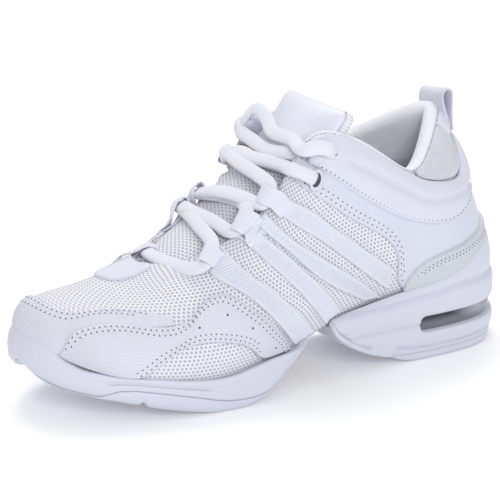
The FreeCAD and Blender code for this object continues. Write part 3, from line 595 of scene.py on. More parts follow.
MATERIAL = {
    "floor": plain_finish("floor", (0.94, 0.94, 0.95), 0.9, 2.0,
                          Emission_Color=(1, 1, 1, 1), Emission_Strength=0.12),
    "leather": smooth_leather("coated_leather", (0.615, 0.635, 0.74)),
    "collar": smooth_leather("collar_leather", (0.635, 0.65, 0.755)),
    "tongue": smooth_leather("tongue_leather", (0.705, 0.718, 0.814)),
    "grain": grained_leather("grained_leather", (0.70, 0.717, 0.81)),
    "patch": grained_leather("heel_patch_leather", (0.631, 0.660, 0.717)),
    "mesh": open_mesh("open_mesh", (0.76, 0.773, 0.835), 0.40),
    "web": webbing("ribbed_webbing", (0.715, 0.735, 0.835), 1.35, 400.0),
    "tape": twill("twill_tape", (0.689, 0.709, 0.805)),
    "lace": twill("woven_lace", (0.738, 0.751, 0.831), 0.8),
    "gore": webbing("ribbed_knit", (0.705, 0.718, 0.779), 0.9, 0.45),
    "lining": knit("inner_lining", (0.77, 0.79, 0.84), 1.8, 0.16),
    "sole": moulded("sole_foam", (0.61, 0.622, 0.725)),
    "tread": moulded("sole_rubber", (0.60, 0.612, 0.715), 0.46),
    # Dark sheet in the heel window: painted shade, with painted highlights towards the back and low down.
    "window_shade": painted_light_sheet("window_painted_light", (0.02, 0.02, 0.03), (0.95, 0.96, 1.0)),
    "clear": plain_finish("clear_cushion", (0.80, 0.82, 0.90), 0.06, 80.0,
                          Transmission_Weight=0.94, IOR=1.2, Coat_Weight=0.1, Coat_Roughness=0.05),
    "thread": plain_finish("thread", (0.722, 0.734, 0.814), 0.6, 900.0),
    # Near-black lumps in needle holes, punched holes and eyelet wells: painted shade in the holes.
    "needle": plain_finish("needle_hole_shade", (0.06, 0.06, 0.075), 0.8, 900.0),
    "stiff": plain_finish("stiffener", (0.55, 0.52, 0.45), 0.6),
    "tip": plain_finish("lace_tip", (0.697, 0.709, 0.787), 0.2, 300.0),
}


# ---------------------------------------------------------------- swept and woven pieces
def sweep(name, material, centres, width_way, half_width, half_thick, taper, sides=16, flatness=2.4):
    """Closed flat tape along a line, with tapered ends; width_way points across the tape's flat side."""
    along = unit(np.gradient(centres, axis=0))
    out = unit(width_way - along * (width_way * along).sum(1, keepdims=True))
    thick_way = np.cross(along, out)
    turn = np.linspace(0, 2 * np.pi, sides, endpoint=False)
    c, s = np.cos(turn), np.sin(turn)
    round_c = np.sign(c) * np.abs(c) ** (2 / flatness)
    round_s = np.sign(s) * np.abs(s) ** (2 / flatness)
    length = lengths_along(centres, 0)
    near = np.clip(np.minimum(length, length[-1] - length) / taper, 0, 1)
    scale = 0.25 + 0.75 * np.sqrt(1 - (1 - near) ** 2)
    wide, thick = half_width * scale, half_thick * scale
    points = (centres[:, None] + out[:, None] * (round_c * wide[:, None])[..., None]
              + thick_way[:, None] * (round_s * thick[:, None])[..., None])
    weave = np.stack(np.broadcast_arrays(length[:, None], turn[None] * float(np.mean(wide))), axis=-1)
    return ring_object(name, points, material, weave)


def resample(points, step, ways=None):
    """Evenly spaced points along a smooth curve, and the ways given at its stops blended along with them."""
    points = np.asarray(points, float)
    length = np.linalg.norm(np.diff(points, axis=0), axis=1).sum()
    count = max(int(length / step), 6)
    line = curve_through(points, count=count)
    if ways is None:
        return line
    knots = lengths_along(points, 0)
    at = np.linspace(0, knots[-1], count)
    return line, unit(np.stack([np.interp(at, knots, way) for way in np.asarray(ways, float).T], axis=1))


def lump_mesh(name, centres, along, out, size, material, sides=(6, 5)):
    """One mesh of many small rounded lumps, such as stitches; size is half of length, width and height."""
    across = np.cross(out, along)
    turn = np.linspace(0, 2 * np.pi, sides[0], endpoint=False)
    rise = np.linspace(-np.pi / 2, np.pi / 2, sides[1])
    ring = np.cos(rise[1:-1])[:, None]
    unit_points = np.concatenate([[[0, 0, -1]], np.stack([
        (ring * np.cos(turn)).ravel(), (ring * np.sin(turn)).ravel(),
        np.repeat(np.sin(rise[1:-1]), sides[0])], axis=1), [[0, 0, 1]]])
    faces, last = [], len(unit_points) - 1
    for i in range(sides[0]):
        j = (i + 1) % sides[0]
        faces.append((0, 1 + j, 1 + i))
        for k in range(sides[1] - 3):
            low, high = 1 + k * sides[0], 1 + (k + 1) * sides[0]
            faces.append((low + i, low + j, high + j, high + i))
        faces.append((last - sides[0] + i, last - sides[0] + j, last))
    points = (centres[:, None] + along[:, None] * (unit_points[:, 0] * size[0])[None, :, None]
              + across[:, None] * (unit_points[:, 1] * size[1])[None, :, None]
              + out[:, None] * (unit_points[:, 2] * size[2])[None, :, None])
    all_faces = [tuple(v + n * len(unit_points) for v in face) for n in range(len(centres)) for face in faces]
    return mesh_object(name, points.reshape(-1, 3), all_faces, material)


def on_skin(rows, height, pitch, start):
    """Evenly spaced places along rows of (station, level), and the directions along and outwards."""
    spots = []
    for row in rows:
        row = np.asarray(row, float)
        length = lengths_along(form(row[:, 0], row[:, 1]), 0)
        at = np.arange(start * pitch, length[-1], pitch)
        s, t = np.interp(at, length, row[:, 0]), np.interp(at, length, row[:, 1])
        ahead = np.interp(at + 0.4, length, row[:, 0]), np.interp(at + 0.4, length, row[:, 1])
        behind = np.interp(at - 0.4, length, row[:, 0]), np.interp(at - 0.4, length, row[:, 1])
        direction = unit(form(*ahead) - form(*behind))
        _, _, out = skin_frame(s, t)
        spots.append((skin(s, t, np.full_like(s, height)), direction, out))
    return [np.concatenate(part) for part in zip(*spots)]


def stitches(name, rows, height, body=None, pitch=3.2, holes=True):
    """Thread between needle holes, along rows of (station, level); without a body it is baked into world
    space.
    """
    kinds = [("_thread", 0.0, 0.5, (pitch * 0.4, 0.32, 0.3), "thread")]
    if holes:
        # The needle holes are near-black lumps: painted shade in the holes.
        kinds.append(("_holes", 0.02, 1.0, (0.42, 0.36, 0.16), "needle"))
    for ending, lift, start, size, material in kinds:
        piece = lump_mesh(name + ending, *on_skin(rows, height + lift, pitch, start), size, material)
        if body:
            fixed(piece, body, slot="white_webbing")
        else:
            soft(piece, slot="white_webbing")


# ---------------------------------------------------------------- rails shared with the CAD model
MUDGUARD_TOP = [
    (7.4, 0.45), (7.34, 0.8), (7.28, 1.33), (7.16, 1.74), (6.84, 2.06), (6.5, 1.98), (6.2, 2.05),
    (6.06, 2.45), (5.88, 2.58), (5.7, 2.33), (5.57, 2.05), (5.35, 1.55), (5.17, 1.05), (4.98, 0.55),
    (4.88, 0.15),
]
MUDGUARD_BOTTOM = [
    (7.28, 0.45), (7.05, 0.45), (6.85, 0.42), (6.68, 0.44), (6.55, 0.68), (6.35, 1.21), (6.2, 1.41),
    (6.03, 1.43), (5.83, 1.31), (5.68, 1.16), (5.54, 0.91), (5.42, 0.56), (5.34, 0.4), (5.2, 0.32),
    (5.06, 0.28),
]
TOE_CAP_TOP = [
    (6.36, 2.24), (6.64, 2.52), (6.87, 2.6), (7.13, 2.44), (7.39, 2.1), (7.7, 2.02), (8, 2.04),
]
TOE_CAP_BOTTOM = [
    (6.32, 1.98), (6.64, 1.94), (6.92, 1.88), (7.14, 1.62), (7.28, 1.05), (7.38, 0.38), (8, 0.34),
]
PUNCHED = [(6.11, 1.84), (5.82, 2.0), (5.53, 1.46), (5.18, 0.56)]
# Front and back edge of each webbing strap, from its loop down to the sole.
STRAPS = {
    "1": ([(6.03, 3.92), (5.97, 3.27), (5.71, 2.64), (5.45, 2.06), (5.25, 1.51), (5.05, 0.90), (4.80, 0.15)],
          [(5.80, 3.92), (5.66, 3.35), (5.43, 2.67), (5.19, 2.14), (4.96, 1.56), (4.70, 0.85), (4.46, 0.15)]),
    "2": ([(5.60, 3.92), (5.45, 3.50), (5.28, 2.99), (5.05, 2.39), (4.82, 1.79), (4.60, 1.15), (4.24, 0.15)],
          [(5.36, 3.92), (5.19, 3.37), (4.93, 2.72), (4.70, 2.16), (4.50, 1.69), (4.24, 1.03), (3.95, 0.26)]),
    "3": ([(5.32, 3.92), (5.15, 3.37), (4.89, 2.72), (4.62, 2.08), (4.30, 1.40), (3.92, 0.75), (3.56, 0.26)],
          [(5.16, 3.92), (5.02, 3.47), (4.73, 2.72), (4.36, 2.06), (4.01, 1.46), (3.69, 0.91), (3.26, 0.15)]),
    "4": ([(5.08, 3.92), (4.88, 3.40), (4.53, 2.67), (4.15, 2.05), (3.81, 1.43), (3.50, 0.85), (3.16, 0.30)],
          [(4.84, 3.92), (4.70, 3.50), (4.42, 2.98), (4.13, 2.47), (3.81, 2.00), (3.48, 1.45), (3.12, 0.85)]),
}
QUARTER_FRONT = [
    (4.66, 3.98), (4.5, 3.5), (4.25, 3.02), (3.73, 2.32), (3.22, 1.68), (3.04, 1.1), (3.02, 0.6),
    (2.92, 0.24), (2.2, 0.24), (1.3, 0.24), (0.7, 0.24), (0, 0.24),
]
QUARTER_TOP = [
    (4.42, 3.98), (4.3, 3.72), (4.07, 3.37), (3.74, 2.94), (3.48, 2.69), (3.27, 2.49), (3.02, 2.22),
    (2.72, 1.93), (2.1, 1.61), (1.4, 1.75), (0.8, 1.95), (0, 2.09),
]
COLLAR_BOTTOM = [(s, t - 0.04) for s, t in QUARTER_TOP[1:]]
COLLAR_TOP = [
    (4.2, 3.98), (3.84, 3.98), (3.45, 3.98), (3.15, 3.97), (2.85, 3.92), (2.52, 3.78), (2.25, 3.32),
    (1.75, 2.66), (1.15, 2.48), (0.62, 2.84), (0, 3.3),
]
CHANNEL = [
    (3.63, 3.45), (3.2, 3.27), (2.71, 2.92), (2.42, 2.49), (2.05, 2.26), (1.5, 2.09), (0.75, 2.06),
]
GORE_BOTTOM = [
    (2.3, 3.5), (2.05, 3.04), (1.72, 2.7), (1.2, 2.56), (0.85, 2.78), (0.68, 2.98), (0.58, 3.2),
]
GORE_TOP = [(s, 3.97) for s in (2.22, 1.87, 1.60, 1.30, 1.02, 0.82, 0.68)]
PATCH_TOP = [
    (2.9, 0.36), (2.8, 0.6), (2.6, 0.78), (2.13, 0.86), (1.27, 0.84), (0.6, 0.88), (0, 0.92),
]
TAB_EDGE = [(7.22, 3.90), (7.30, 3.62), (7.50, 3.42), (7.80, 3.34), (8.0, 3.33)]
TAB_ROOT = [(7.40, 3.96), (7.55, 3.96), (7.70, 3.96), (7.85, 3.96), (8.0, 3.96)]
# Middle line of the tongue and half its width.
TONGUE_ROWS = [((-66, 2.5, 60), 12), ((-46, 1.5, 71.5), 19), ((-22, 1, 88), 22), ((0, 0.5, 105.5), 24.5),
               ((18, 0.5, 120), 26.5), ((30, 0.5, 130.2), 27.5)]
EYELETS = {"lateral": [(4.28, 3.39), (3.90, 3.63)], "medial": [(11.62, 3.40), (11.98, 3.62)]}
# Plans and profiles of the sole: (x, lateral y, medial y) or (x, height), and the footbed with both.
FOOTBED = [
    (-118, -13, 18, 29.5), (-111, -19.5, 24, 25.4), (-100, -27, 29.5, 21), (-80, -35.5, 36, 16.6),
    (-55, -40, 39.5, 13.6), (-30, -38.5, 37, 15.2), (-8, -34.5, 32, 20), (15, -30, 26, 27.8),
    (40, -27, 23, 32), (70, -26, 22.5, 34.4), (95, -23, 18, 36.4), (110, -15, 9, 39.6),
]
SIDES = ("lateral", "medial")
# Heights over the form: a leather panel's underside, thickness and face, and the mudguard's face.
OVERLAY = 0.4
LEATHER = 1.3
FACE = OVERLAY + LEATHER
GUARD_FACE = 2.6


# ---------------------------------------------------------------- the upper
def build_upper():
    """Mesh over the whole form, under every panel."""
    stations = np.linspace(0, TURN, 400, endpoint=False)
    s, t = np.meshgrid(stations, np.linspace(0, TOP_LINE, 44), indexing="ij")
    upper = shell_object("upper_mesh", skin(s, t, np.zeros_like(s)), skin(s, t, np.full_like(s, -1.1)),
                         "mesh", weave_of(form(s, t)), around=True)
    soft(upper, "vamp_mesh", "quarter_mesh_lateral", "quarter_mesh_medial", slot="white_mesh")


def build_lining():
    """Lining from the footbed up to the top line, where it rolls over the collar's padding."""
    stations = np.linspace(0, TURN, 320, endpoint=False)
    padded = 1 - smooth_step(np.minimum(stations, TURN - stations), 3.1, 4.3)
    inside = np.concatenate([np.linspace(0.1, 2.0, 10), np.linspace(2.1, 4.0, 18)])
    outside = inside[::3]
    turn = np.linspace(0, np.pi, 13)[1:-1]
    rows = []
    for station, pad in zip(stations, padded):
        depth = 2.3 + 5.0 * smooth_step(inside, 1.9, 2.7) * pad
        outer_top = -1.25 + 2.0 * pad
        middle, radius = (outer_top - depth[-1]) / 2, (outer_top + depth[-1]) / 2
        cap_level = TOP_LINE + np.sin(turn) * radius * (0.55 + 0.35 * pad) / LEVEL_RISE
        level = np.concatenate([outside, [3.98], cap_level, inside[::-1]])
        height = np.concatenate([np.full(len(outside), -1.25), [outer_top], middle + np.cos(turn) * radius,
                                 -depth[::-1]])
        rows.append(np.stack([np.full_like(level, station), level, height], axis=1))
    points = skin(*np.array(rows).transpose(2, 0, 1))
    lining = ring_object("lining", points, "lining", weave_of(points), around=True)
    soft(lining, "vamp_lining", "quarter_lining_lateral", "quarter_lining_medial", "heel_lining",
         "collar_foam", "collar_lining", "toe_puff", "heel_counter", slot="lining_fabric")


def build_toe():
    """Toe cap, throat tab and mudguards, with their stitches and punched holes."""
    cap = Patch(both_ways(TOE_CAP_BOTTOM), both_ways(TOE_CAP_TOP))
    fixed(sheet_piece("toe_cap_leather", cap, cap.heights(OVERLAY, LEATHER), "grain"),
          FORE, "toe_cap", slot="grained_leather")
    rows = [cap.row(1.7, far=True, start=0.06, end=0.94), cap.row(3.9, far=True, start=0.09, end=0.91)]
    stitches("toe_cap", rows, FACE, FORE, pitch=2.6)
    tab = Patch(both_ways(TAB_EDGE), both_ways(TAB_ROOT), 1.2, 0.8)
    ribs = 0.14 * np.sin(tab.v * 2 * np.pi / 1.5) * np.clip(tab.edge / 2, 0, 1)
    fixed(sheet_piece("throat_tab_webbing", tab, tab.heights(OVERLAY, 1.2) + ribs, "web"),
          FORE, "throat_tab", slot="white_webbing")
    for side in SIDES:
        guard = Patch(turned(MUDGUARD_BOTTOM, side), turned(MUDGUARD_TOP, side))
        fixed(sheet_piece("mudguard_leather_" + side, guard, guard.heights(1.5, 1.1), "grain", base=0.1),
              FORE, "mudguard_" + side, slot="grained_leather")
        rows = [guard.row(1.7, far=True, start=0.04), guard.row(3.9, far=True, start=0.08),
                guard.row(1.7, start=0.22, end=0.84), guard.row(3.9, start=0.22, end=0.8)]
        stitches("mudguard_" + side, rows, GUARD_FACE, FORE, pitch=2.6)
        # The punched holes are near-black lumps: painted shade in the holes.
        s, t = np.array(turned(PUNCHED, side)).T
        along, _, out = skin_frame(s, t)
        holes = lump_mesh("punched_holes_" + side, skin(s, t, np.full(len(s), GUARD_FACE)), along, out,
                          (0.6, 0.6, 0.16), "needle")
        fixed(holes, FORE, slot="grained_leather")


def build_straps():
    """Webbing straps: a piping along each long edge, with ribs across between them."""
    base, thick = 1.5 * OVERLAY, 1.0
    for side in SIDES:
        for number, (front, back) in STRAPS.items():
            strap = Patch(turned(front, side), turned(back, side), 0.21, 1.1)
            inner_edge = np.minimum(strap.v, strap.v_end - strap.v)
            plain = np.maximum(1 - smooth_step(strap.u, 9.0, 10.5), 1 - smooth_step(inner_edge, 2.0, 2.6))
            ribs = 0.24 * np.sin(strap.u * 2 * np.pi / 1.35) * (1 - plain)
            piping = 0.45 * (1 - smooth_step(inner_edge, 1.6, 2.2)) * np.clip(strap.edge / 0.8, 0, 1)
            high = strap.heights(base, thick, rounding=0.7) + ribs + piping
            piece = sheet_piece("strap_webbing_%s_%s" % (number, side), strap, high, "web", base=0.1)
            soft(piece, "strap_%s_%s" % (number, side), slot="white_webbing")
            rows = [strap.row(2.3, end=0.97), strap.row(2.3, end=0.97, far=True)]
            stitches("strap_%s_%s" % (number, side), rows, base + thick, pitch=2.0, holes=False)


def near_line(patch, line, reach):
    """Closeness, 1 on the line and 0 beyond the reach, of a patch's places to a line on the form."""
    track = form(*curve_through(line, count=220).T)
    points = form(patch.s, patch.t).reshape(-1, 3)
    nearest = np.full(len(points), 1e9)
    for part in np.array_split(track, 20):
        nearest = np.minimum(nearest, np.linalg.norm(points[:, None] - part[None], axis=2).min(axis=1))
    return (1 - smooth_step(nearest, 0, reach)).reshape(patch.s.shape)


def build_quarters():
    """Smooth quarter panels, the padded collar panels over them with their channel, and the ribbed gores."""
    for side in SIDES:
        quarter = Patch(turned(QUARTER_FRONT, side), turned(QUARTER_TOP, side), 1.6, 1.8)
        high = quarter.heights(OVERLAY, LEATHER)
        soft(sheet_piece("quarter_leather_panel_" + side, quarter, high, "leather"),
             "quarter_leather_" + side, slot="coated_leather")
        stitches("quarter_front_" + side, [quarter.row(2.0, end=0.5), quarter.row(4.4, end=0.5)], FACE)
        collar = Patch(turned(COLLAR_BOTTOM, side), turned(COLLAR_TOP, side), 1.5, 1.3)
        channel = near_line(collar, turned(CHANNEL, side), 3.2)
        high = collar.heights(1.5, 0.8, rounding=1.2, puff=2.1, puff_reach=9.0) - 1.5 * channel
        soft(sheet_piece("collar_panel_leather_" + side, collar, high, "collar", base=0.1),
             "collar_panel_" + side, slot="coated_leather")
        stitches("collar_edge_" + side, [collar.row(1.4, start=0.03, end=0.97)], 2.95, pitch=2.6)
        gore = Patch(turned(GORE_BOTTOM, side), turned(GORE_TOP, side), 0.3, 1.0)
        high = gore.heights(1.2, 1.0) + 0.32 * np.sin(gore.u * 2 * np.pi / 2.0)
        fixed(sheet_piece("achilles_knit_" + side, gore, high, "gore", base=0.2),
              REAR, "achilles_gore_" + side, slot="knit_trim")
        build_eyelets(side)


def build_eyelets(side):
    """Rims of a side's eyelets, and dark discs of painted shade in their wells."""
    turn = np.linspace(0, 2 * np.pi, 28, endpoint=False)[:, None]
    for number, place in enumerate(EYELETS[side]):
        s, t = np.array([place]).T
        centre = skin(s, t, np.full(1, FACE + 2.3))
        along, up, out = skin_frame(s, t)
        ring = np.cos(turn) * along + np.sin(turn) * up
        points = np.stack([centre + ring * (3.7 + 0.75 * np.cos(a)) + out * (0.6 * np.sin(a))
                           for a in np.linspace(0, 2 * np.pi, 10, endpoint=False)], axis=1)
        rim = ring_object("eyelet_rim_%s_%d" % (side, number), points, "collar",
                          np.zeros(points.shape[:2] + (2,)), around=True)
        # Near-black disc: painted shade in the eyelet's well.
        well_shade = lump_mesh("eyelet_well_shade_%s_%d" % (side, number), centre, along, out,
                         (3.3, 3.3, 0.35), "needle", sides=(24, 7))
        for piece in (rim, well_shade):
            soft(piece, slot="coated_leather")


def build_heel_panels():
    """Patch along the sole at the heel, and the padded cap under the pull loop."""
    patch = Patch(both_ways([(s, 0.16) for s, _ in PATCH_TOP]), both_ways(PATCH_TOP), 1.4, 1.2)
    high = patch.heights(FACE + 0.1, LEATHER, puff=0.3, puff_reach=4.0)
    piping = 0.5 * (1 - smooth_step(np.abs(patch.v_end - patch.v - 1.3), 0.4, 1.3))
    fixed(sheet_piece("heel_patch_leather", patch, high + piping, "patch", base=0.6),
          REAR, "heel_patch", slot="grained_leather")
    rows = [patch.row(3.0, far=True, start=0.03, end=0.97), patch.row(4.6, far=True, start=0.05, end=0.95)]
    stitches("heel_patch", rows, FACE + LEATHER + 0.4, REAR, pitch=2.4)
    low = [(s, 3.42) for s in np.linspace(-0.86, 0.86, 9)]
    tab = Patch(low, [(s, TOP_LINE) for s in np.linspace(-0.98, 0.98, 9)], 1.2, 1.2)
    high = tab.heights(2.0, 1.3, rounding=1.4, puff=0.8, puff_reach=6.0)
    fixed(sheet_piece("heel_tab_leather", tab, high, "collar", base=0.2),
          REAR, "heel_tab", slot="coated_leather")
    stitches("heel_tab", [tab.row(2.0, start=0.06, end=0.94)], 3.7, REAR, pitch=2.2)


# ---------------------------------------------------------------- tongue and insole
def tongue_point(across, along, depth):
    """Points of the tongue: across from -1 to 1, along from 0 at the vamp to 1 at its top."""
    across, along, depth = np.broadcast_arrays(across, along, depth)
    table = np.array([[*place, width] for place, width in TONGUE_ROWS], float)
    weights = spline_weights(along.ravel() * (len(table) - 1), bending(len(table), False), False)
    x, y, z, half = (weights @ table).T.reshape((4,) + along.shape)
    half = half * (1 - 0.16 * smooth_step(along, 0.93, 1.02) ** 2)
    slope = np.radians(28 + 30 * along)
    drop = (0.30 - 0.27 * smooth_step(along, 0.72, 1.0)) * half * across ** 2
    back = 0.10 * half * across ** 2 * along
    return np.stack([x + back + np.sin(slope) * depth, y + half * across, z - drop - np.cos(slope) * depth],
                    axis=-1)


def tongue_sheet(name, start, end, depth, thick, material, width=1.0, puff=0.0, base=None, ripple=0.0):
    """Closed crowned sheet on the tongue, with its outer face at -thick - puff over the depth given."""
    along, across = np.meshgrid(np.linspace(start, end, 60), np.linspace(-width, width, 36), indexing="ij")
    flat = tongue_point(across, along, depth)
    u, v = lengths_along(flat, 0), lengths_along(flat, 1)
    edge = np.minimum(np.minimum(u, u[-1:] - u), np.minimum(v, v[:, -1:] - v))
    near = 1 - np.clip(edge / 1.6, 0, 1)
    high = thick * np.sqrt(1 - near ** 2) + puff * (1 - (1 - np.clip(edge / 9.0, 0, 1)) ** 2)
    high = high + ripple * np.sin(u * 2 * np.pi / 1.2) * np.clip(edge / 1.5, 0, 1)
    outer = tongue_point(across, along, depth - high)
    inner = tongue_point(across, along, depth if base is None else base)
    return shell_object(name, outer, inner, material, np.stack([u, v], axis=-1))


def build_tongue():
    sheet = tongue_sheet("tongue_mesh_sheet", 0.02, 0.67, 1.0, 1.0, "mesh")
    fixed(sheet, "tongue", "tongue_mesh", slot="white_mesh")
    top = tongue_sheet("tongue_top", 0.655, 1.0, 1.0, 1.1, "tongue", puff=1.6)
    fixed(top, "tongue", "tongue_leather", slot="coated_leather")
    pad = tongue_sheet("tongue_pad", 0.02, 1.0, 3.2, 2.3, "lining", base=5.6, width=0.985)
    fixed(pad, "tongue", "tongue_foam", "tongue_lining", slot="lining_fabric")
    keeper = tongue_sheet("tongue_keeper", 0.60, 0.68, -0.2, 0.9, "web", width=0.5, base=0.4, ripple=0.12)
    fixed(keeper, "tongue", "tongue_lace_keeper", slot="white_webbing")


def build_insole():
    """Board and cushion; each has a bottom over the footbed, a thickness and a margin inside it."""
    x, lateral, medial, z = curve_through(FOOTBED, count=90).T[:, :, None]
    for name, node, material, bottom, thick, margin in (
            ("sock_board", "strobel_sock", "stiff", 0.4, 1.6, 3.6),
            ("sock_cushion", "sock_liner", "lining", 2.4, 4.0, 5.2)):
        low, high = lateral + margin, medial - margin
        y = low + (high - low) * np.linspace(0, 1, 24)
        edge = np.minimum(y - low, high - y)
        lift = thick - 1.2 * (1 - np.clip(edge / 2.0, 0, 1)) ** 2
        inner = np.stack(np.broadcast_arrays(x, y, z + bottom), axis=-1)
        outer = np.stack(np.broadcast_arrays(x, y, z + bottom + lift), axis=-1)
        soft(shell_object(name, outer, inner, material, outer[..., :2]), node, slot="lining_fabric")


# ---------------------------------------------------------------- pull loop, lace loops and lace
def build_pull_loop():
    """Tape folded over in a loop, whose ends are sewn down at the heel tab."""
    side = [(98.6, 112.0), (97.3, 116.5), (96.1, 120.5), (95.8, 124.0), (96.7, 126.6), (98.6, 127.6),
            (100.5, 126.6), (101.3, 124.0), (101.4, 118.0), (101.6, 112.0), (102.0, 107.0)]
    path = resample([(x, -3.0, z) for x, z in side], 0.9)
    across = np.broadcast_to([0.0, 1.0, -0.16], path.shape)
    tape = sweep("pull_tape", "tape", path, across, 10.2, 0.65, 1.0, sides=40, flatness=7.0)
    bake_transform(tape)
    finish_piece(tape, ["pull_loop", "pull_loop_ends"])


# Stops of the lace in order: a place, or a (station, level, height) over the form.
LACE_ROUTE = [
    (-55, 14, 64.5), (-59.5, 1, 66), (-59, -6, 65.8), (-56.5, -13, 64.8), (-53.5, -22, 64.8),
    (-49, -27, 66.4), (-44.6, -27.6, 70.6), (-40.8, -23.4, 74.8), (-38.6, -13, 77.6), (-37.2, -2, 79.8),
    (-34.2, 11.5, 80.8), (-30.9, 24, 80.1), (-32.7, 17, 81.4), (-34.2, 3, 82.2), (-33.4, -7, 82),
    (-32.1, -16, 80.8), (-30.4, -23.5, 79.8), (-26.9, -26, 81.6), (-23.6, -25.8, 85.4),
    (-21.8, -22.6, 89.2), (-19.6, -12.6, 90.2), (-21.6, -3, 90.4), (-23.6, 8, 88.8), (-21, 24.5, 85),
    (-23.4, 14.5, 88.2), (-24.6, -4, 93.4), (-20.8, -15, 93.2), (-18, -22, 92), (-14.8, -26, 91.8),
    (-12, -26.8, 95), (-10.8, -26, 99), (-11.2, -20.5, 101.8), (-10.4, -8, 102.6), (-9, 6, 103.2),
    (-7, 18, 104), (-3.8, 26.5, 103), (11.42, 3.86, 6), (11.56, 3.55, 5.2), (11.61, 3.42, 2.2),
    (11.63, 3.36, -3), (11.45, 3.7, -5), (-7.5, 23, 101.5), (-4.8, 15, 105.4), (-5, 2, 106.2),
    (-2.6, -12, 106.8), (-0.6, -22, 106.6), (4.6, 3.97, 5.6), (4.47, 3.74, 6.8), (4.36, 3.53, 5.8),
    (4.3, 3.42, 2.4), (4.27, 3.36, -3.5), (4.45, 3.75, -5.5), (5, -24, 110.4), (2.4, -14, 111.2),
    (0.8, 0, 110.4), (2.3, 14, 111.4), (4, 27, 112.6), (11.8, 3.9, 6), (11.93, 3.7, 5.2),
    (11.97, 3.63, 2.2), (12, 3.56, -3), (11.95, 3.8, -5), (6.8, 26, 117), (9, 24, 121.8),
    (9.6, 14, 122.8), (8.4, 7, 120.4), (5.8, 0, 118.4), (5.8, -9, 117.8), (6, -20, 117.6),
    (4.3, 3.97, 6), (4.12, 3.85, 7), (3.98, 3.72, 6.2), (3.92, 3.65, 2.4), (3.88, 3.6, -3.5),
    (3.88, 3.3, -6), (3.9, 3, -7), (3.95, 2.75, -7.5),
]
# Way the lace's flat face looks, from some of its stops: stop, x, y, z.
LACE_FACE = [
    (0, -0.3, 0.2, 0.9), (3, -0.5, -0.5, 0.7), (6, -0.6, -0.6, 0.6), (9, -0.7, -0.2, 0.7),
    (11, -0.5, 0.5, 0.7), (14, -0.7, -0.2, 0.7), (17, -0.5, -0.7, 0.4), (21, -0.7, -0.1, 0.7),
    (23, -0.4, 0.6, 0.7), (26, -0.7, -0.2, 0.7), (29, -0.5, -0.8, 0.3), (32, -0.7, -0.2, 0.7),
    (35, -0.4, 0.6, 0.7), (37, -0.1, 0.9, 0.2), (39, 0.2, 0.9, 0.2), (41, -0.3, -0.6, 0.5),
    (44, -0.7, -0.2, 0.7), (47, -0.3, -0.9, 0.4), (49, -0.1, -1, 0.1), (50, 0, 1, 0.2),
    (52, -0.6, -0.5, 0.6), (54, -0.7, 0, 0.7), (56, -0.1, 0.9, 0.2), (58, 0.1, 0.9, 0.2),
    (60, -0.5, 0.5, 0.3), (61, -0.4, 0.8, 0.4), (64, -0.7, -0.1, 0.5), (67, -0.6, -0.4, 0.6),
    (69, -0.3, -0.9, 0.4), (71, -0.1, -1, 0.1), (73, 0, 1, 0.2), (76, 0, 1, 0.1),
]
# Bands: side, the stop they hold, their strap's stations at two levels and their half width.
LACE_BANDS = [("lateral", 6, 5.82, 5.88, 4.6), ("lateral", 17.6, 5.26, 5.35, 6.0),
              ("lateral", 29, 4.80, 4.88, 4.6), ("medial", 0.2, 9.35, 9.32, 4.4),
              ("medial", 11, 10.20, 10.22, 4.8), ("medial", 23, 10.62, 10.64, 4.8)]


def lace_line():
    """Stops of the lace, its centre line, and the unit vectors along it and out of its face."""
    places, face = np.array(LACE_ROUTE), np.array(LACE_FACE)
    on_form = places[:, 2] < 20
    places[on_form] = skin(*places[on_form].T)
    stops = np.arange(len(places))
    ways = np.stack([np.interp(stops, face[:, 0], face[:, n]) for n in (1, 2, 3)], axis=1)
    centres, ways = resample(places, 0.7, ways)
    along = unit(np.gradient(centres, axis=0))
    return places, centres, along, unit(ways - along * (ways * along).sum(1, keepdims=True))


def build_lace():
    _, centres, along, face = lace_line()
    lace = sweep("flat_lace", "lace", centres, np.cross(face, along), 3.5, 1.9, 3.0, sides=20, flatness=2.5)
    fixed(lace, FORE, "lace", slot="white_lace")
    end = centres[-1]
    path = resample([end + (0.2, 0.1, 2.0), end + (0.0, -0.3, -6.0), end + (-0.3, -0.6, -14.0)], 0.8)
    tip = sweep("lace_tip", "tip", path, np.broadcast_to([0.0, 1.0, 0.0], path.shape), 1.7, 1.5, 1.0)
    fixed(tip, FORE, "lace_aglet", slot="aglet_plastic")


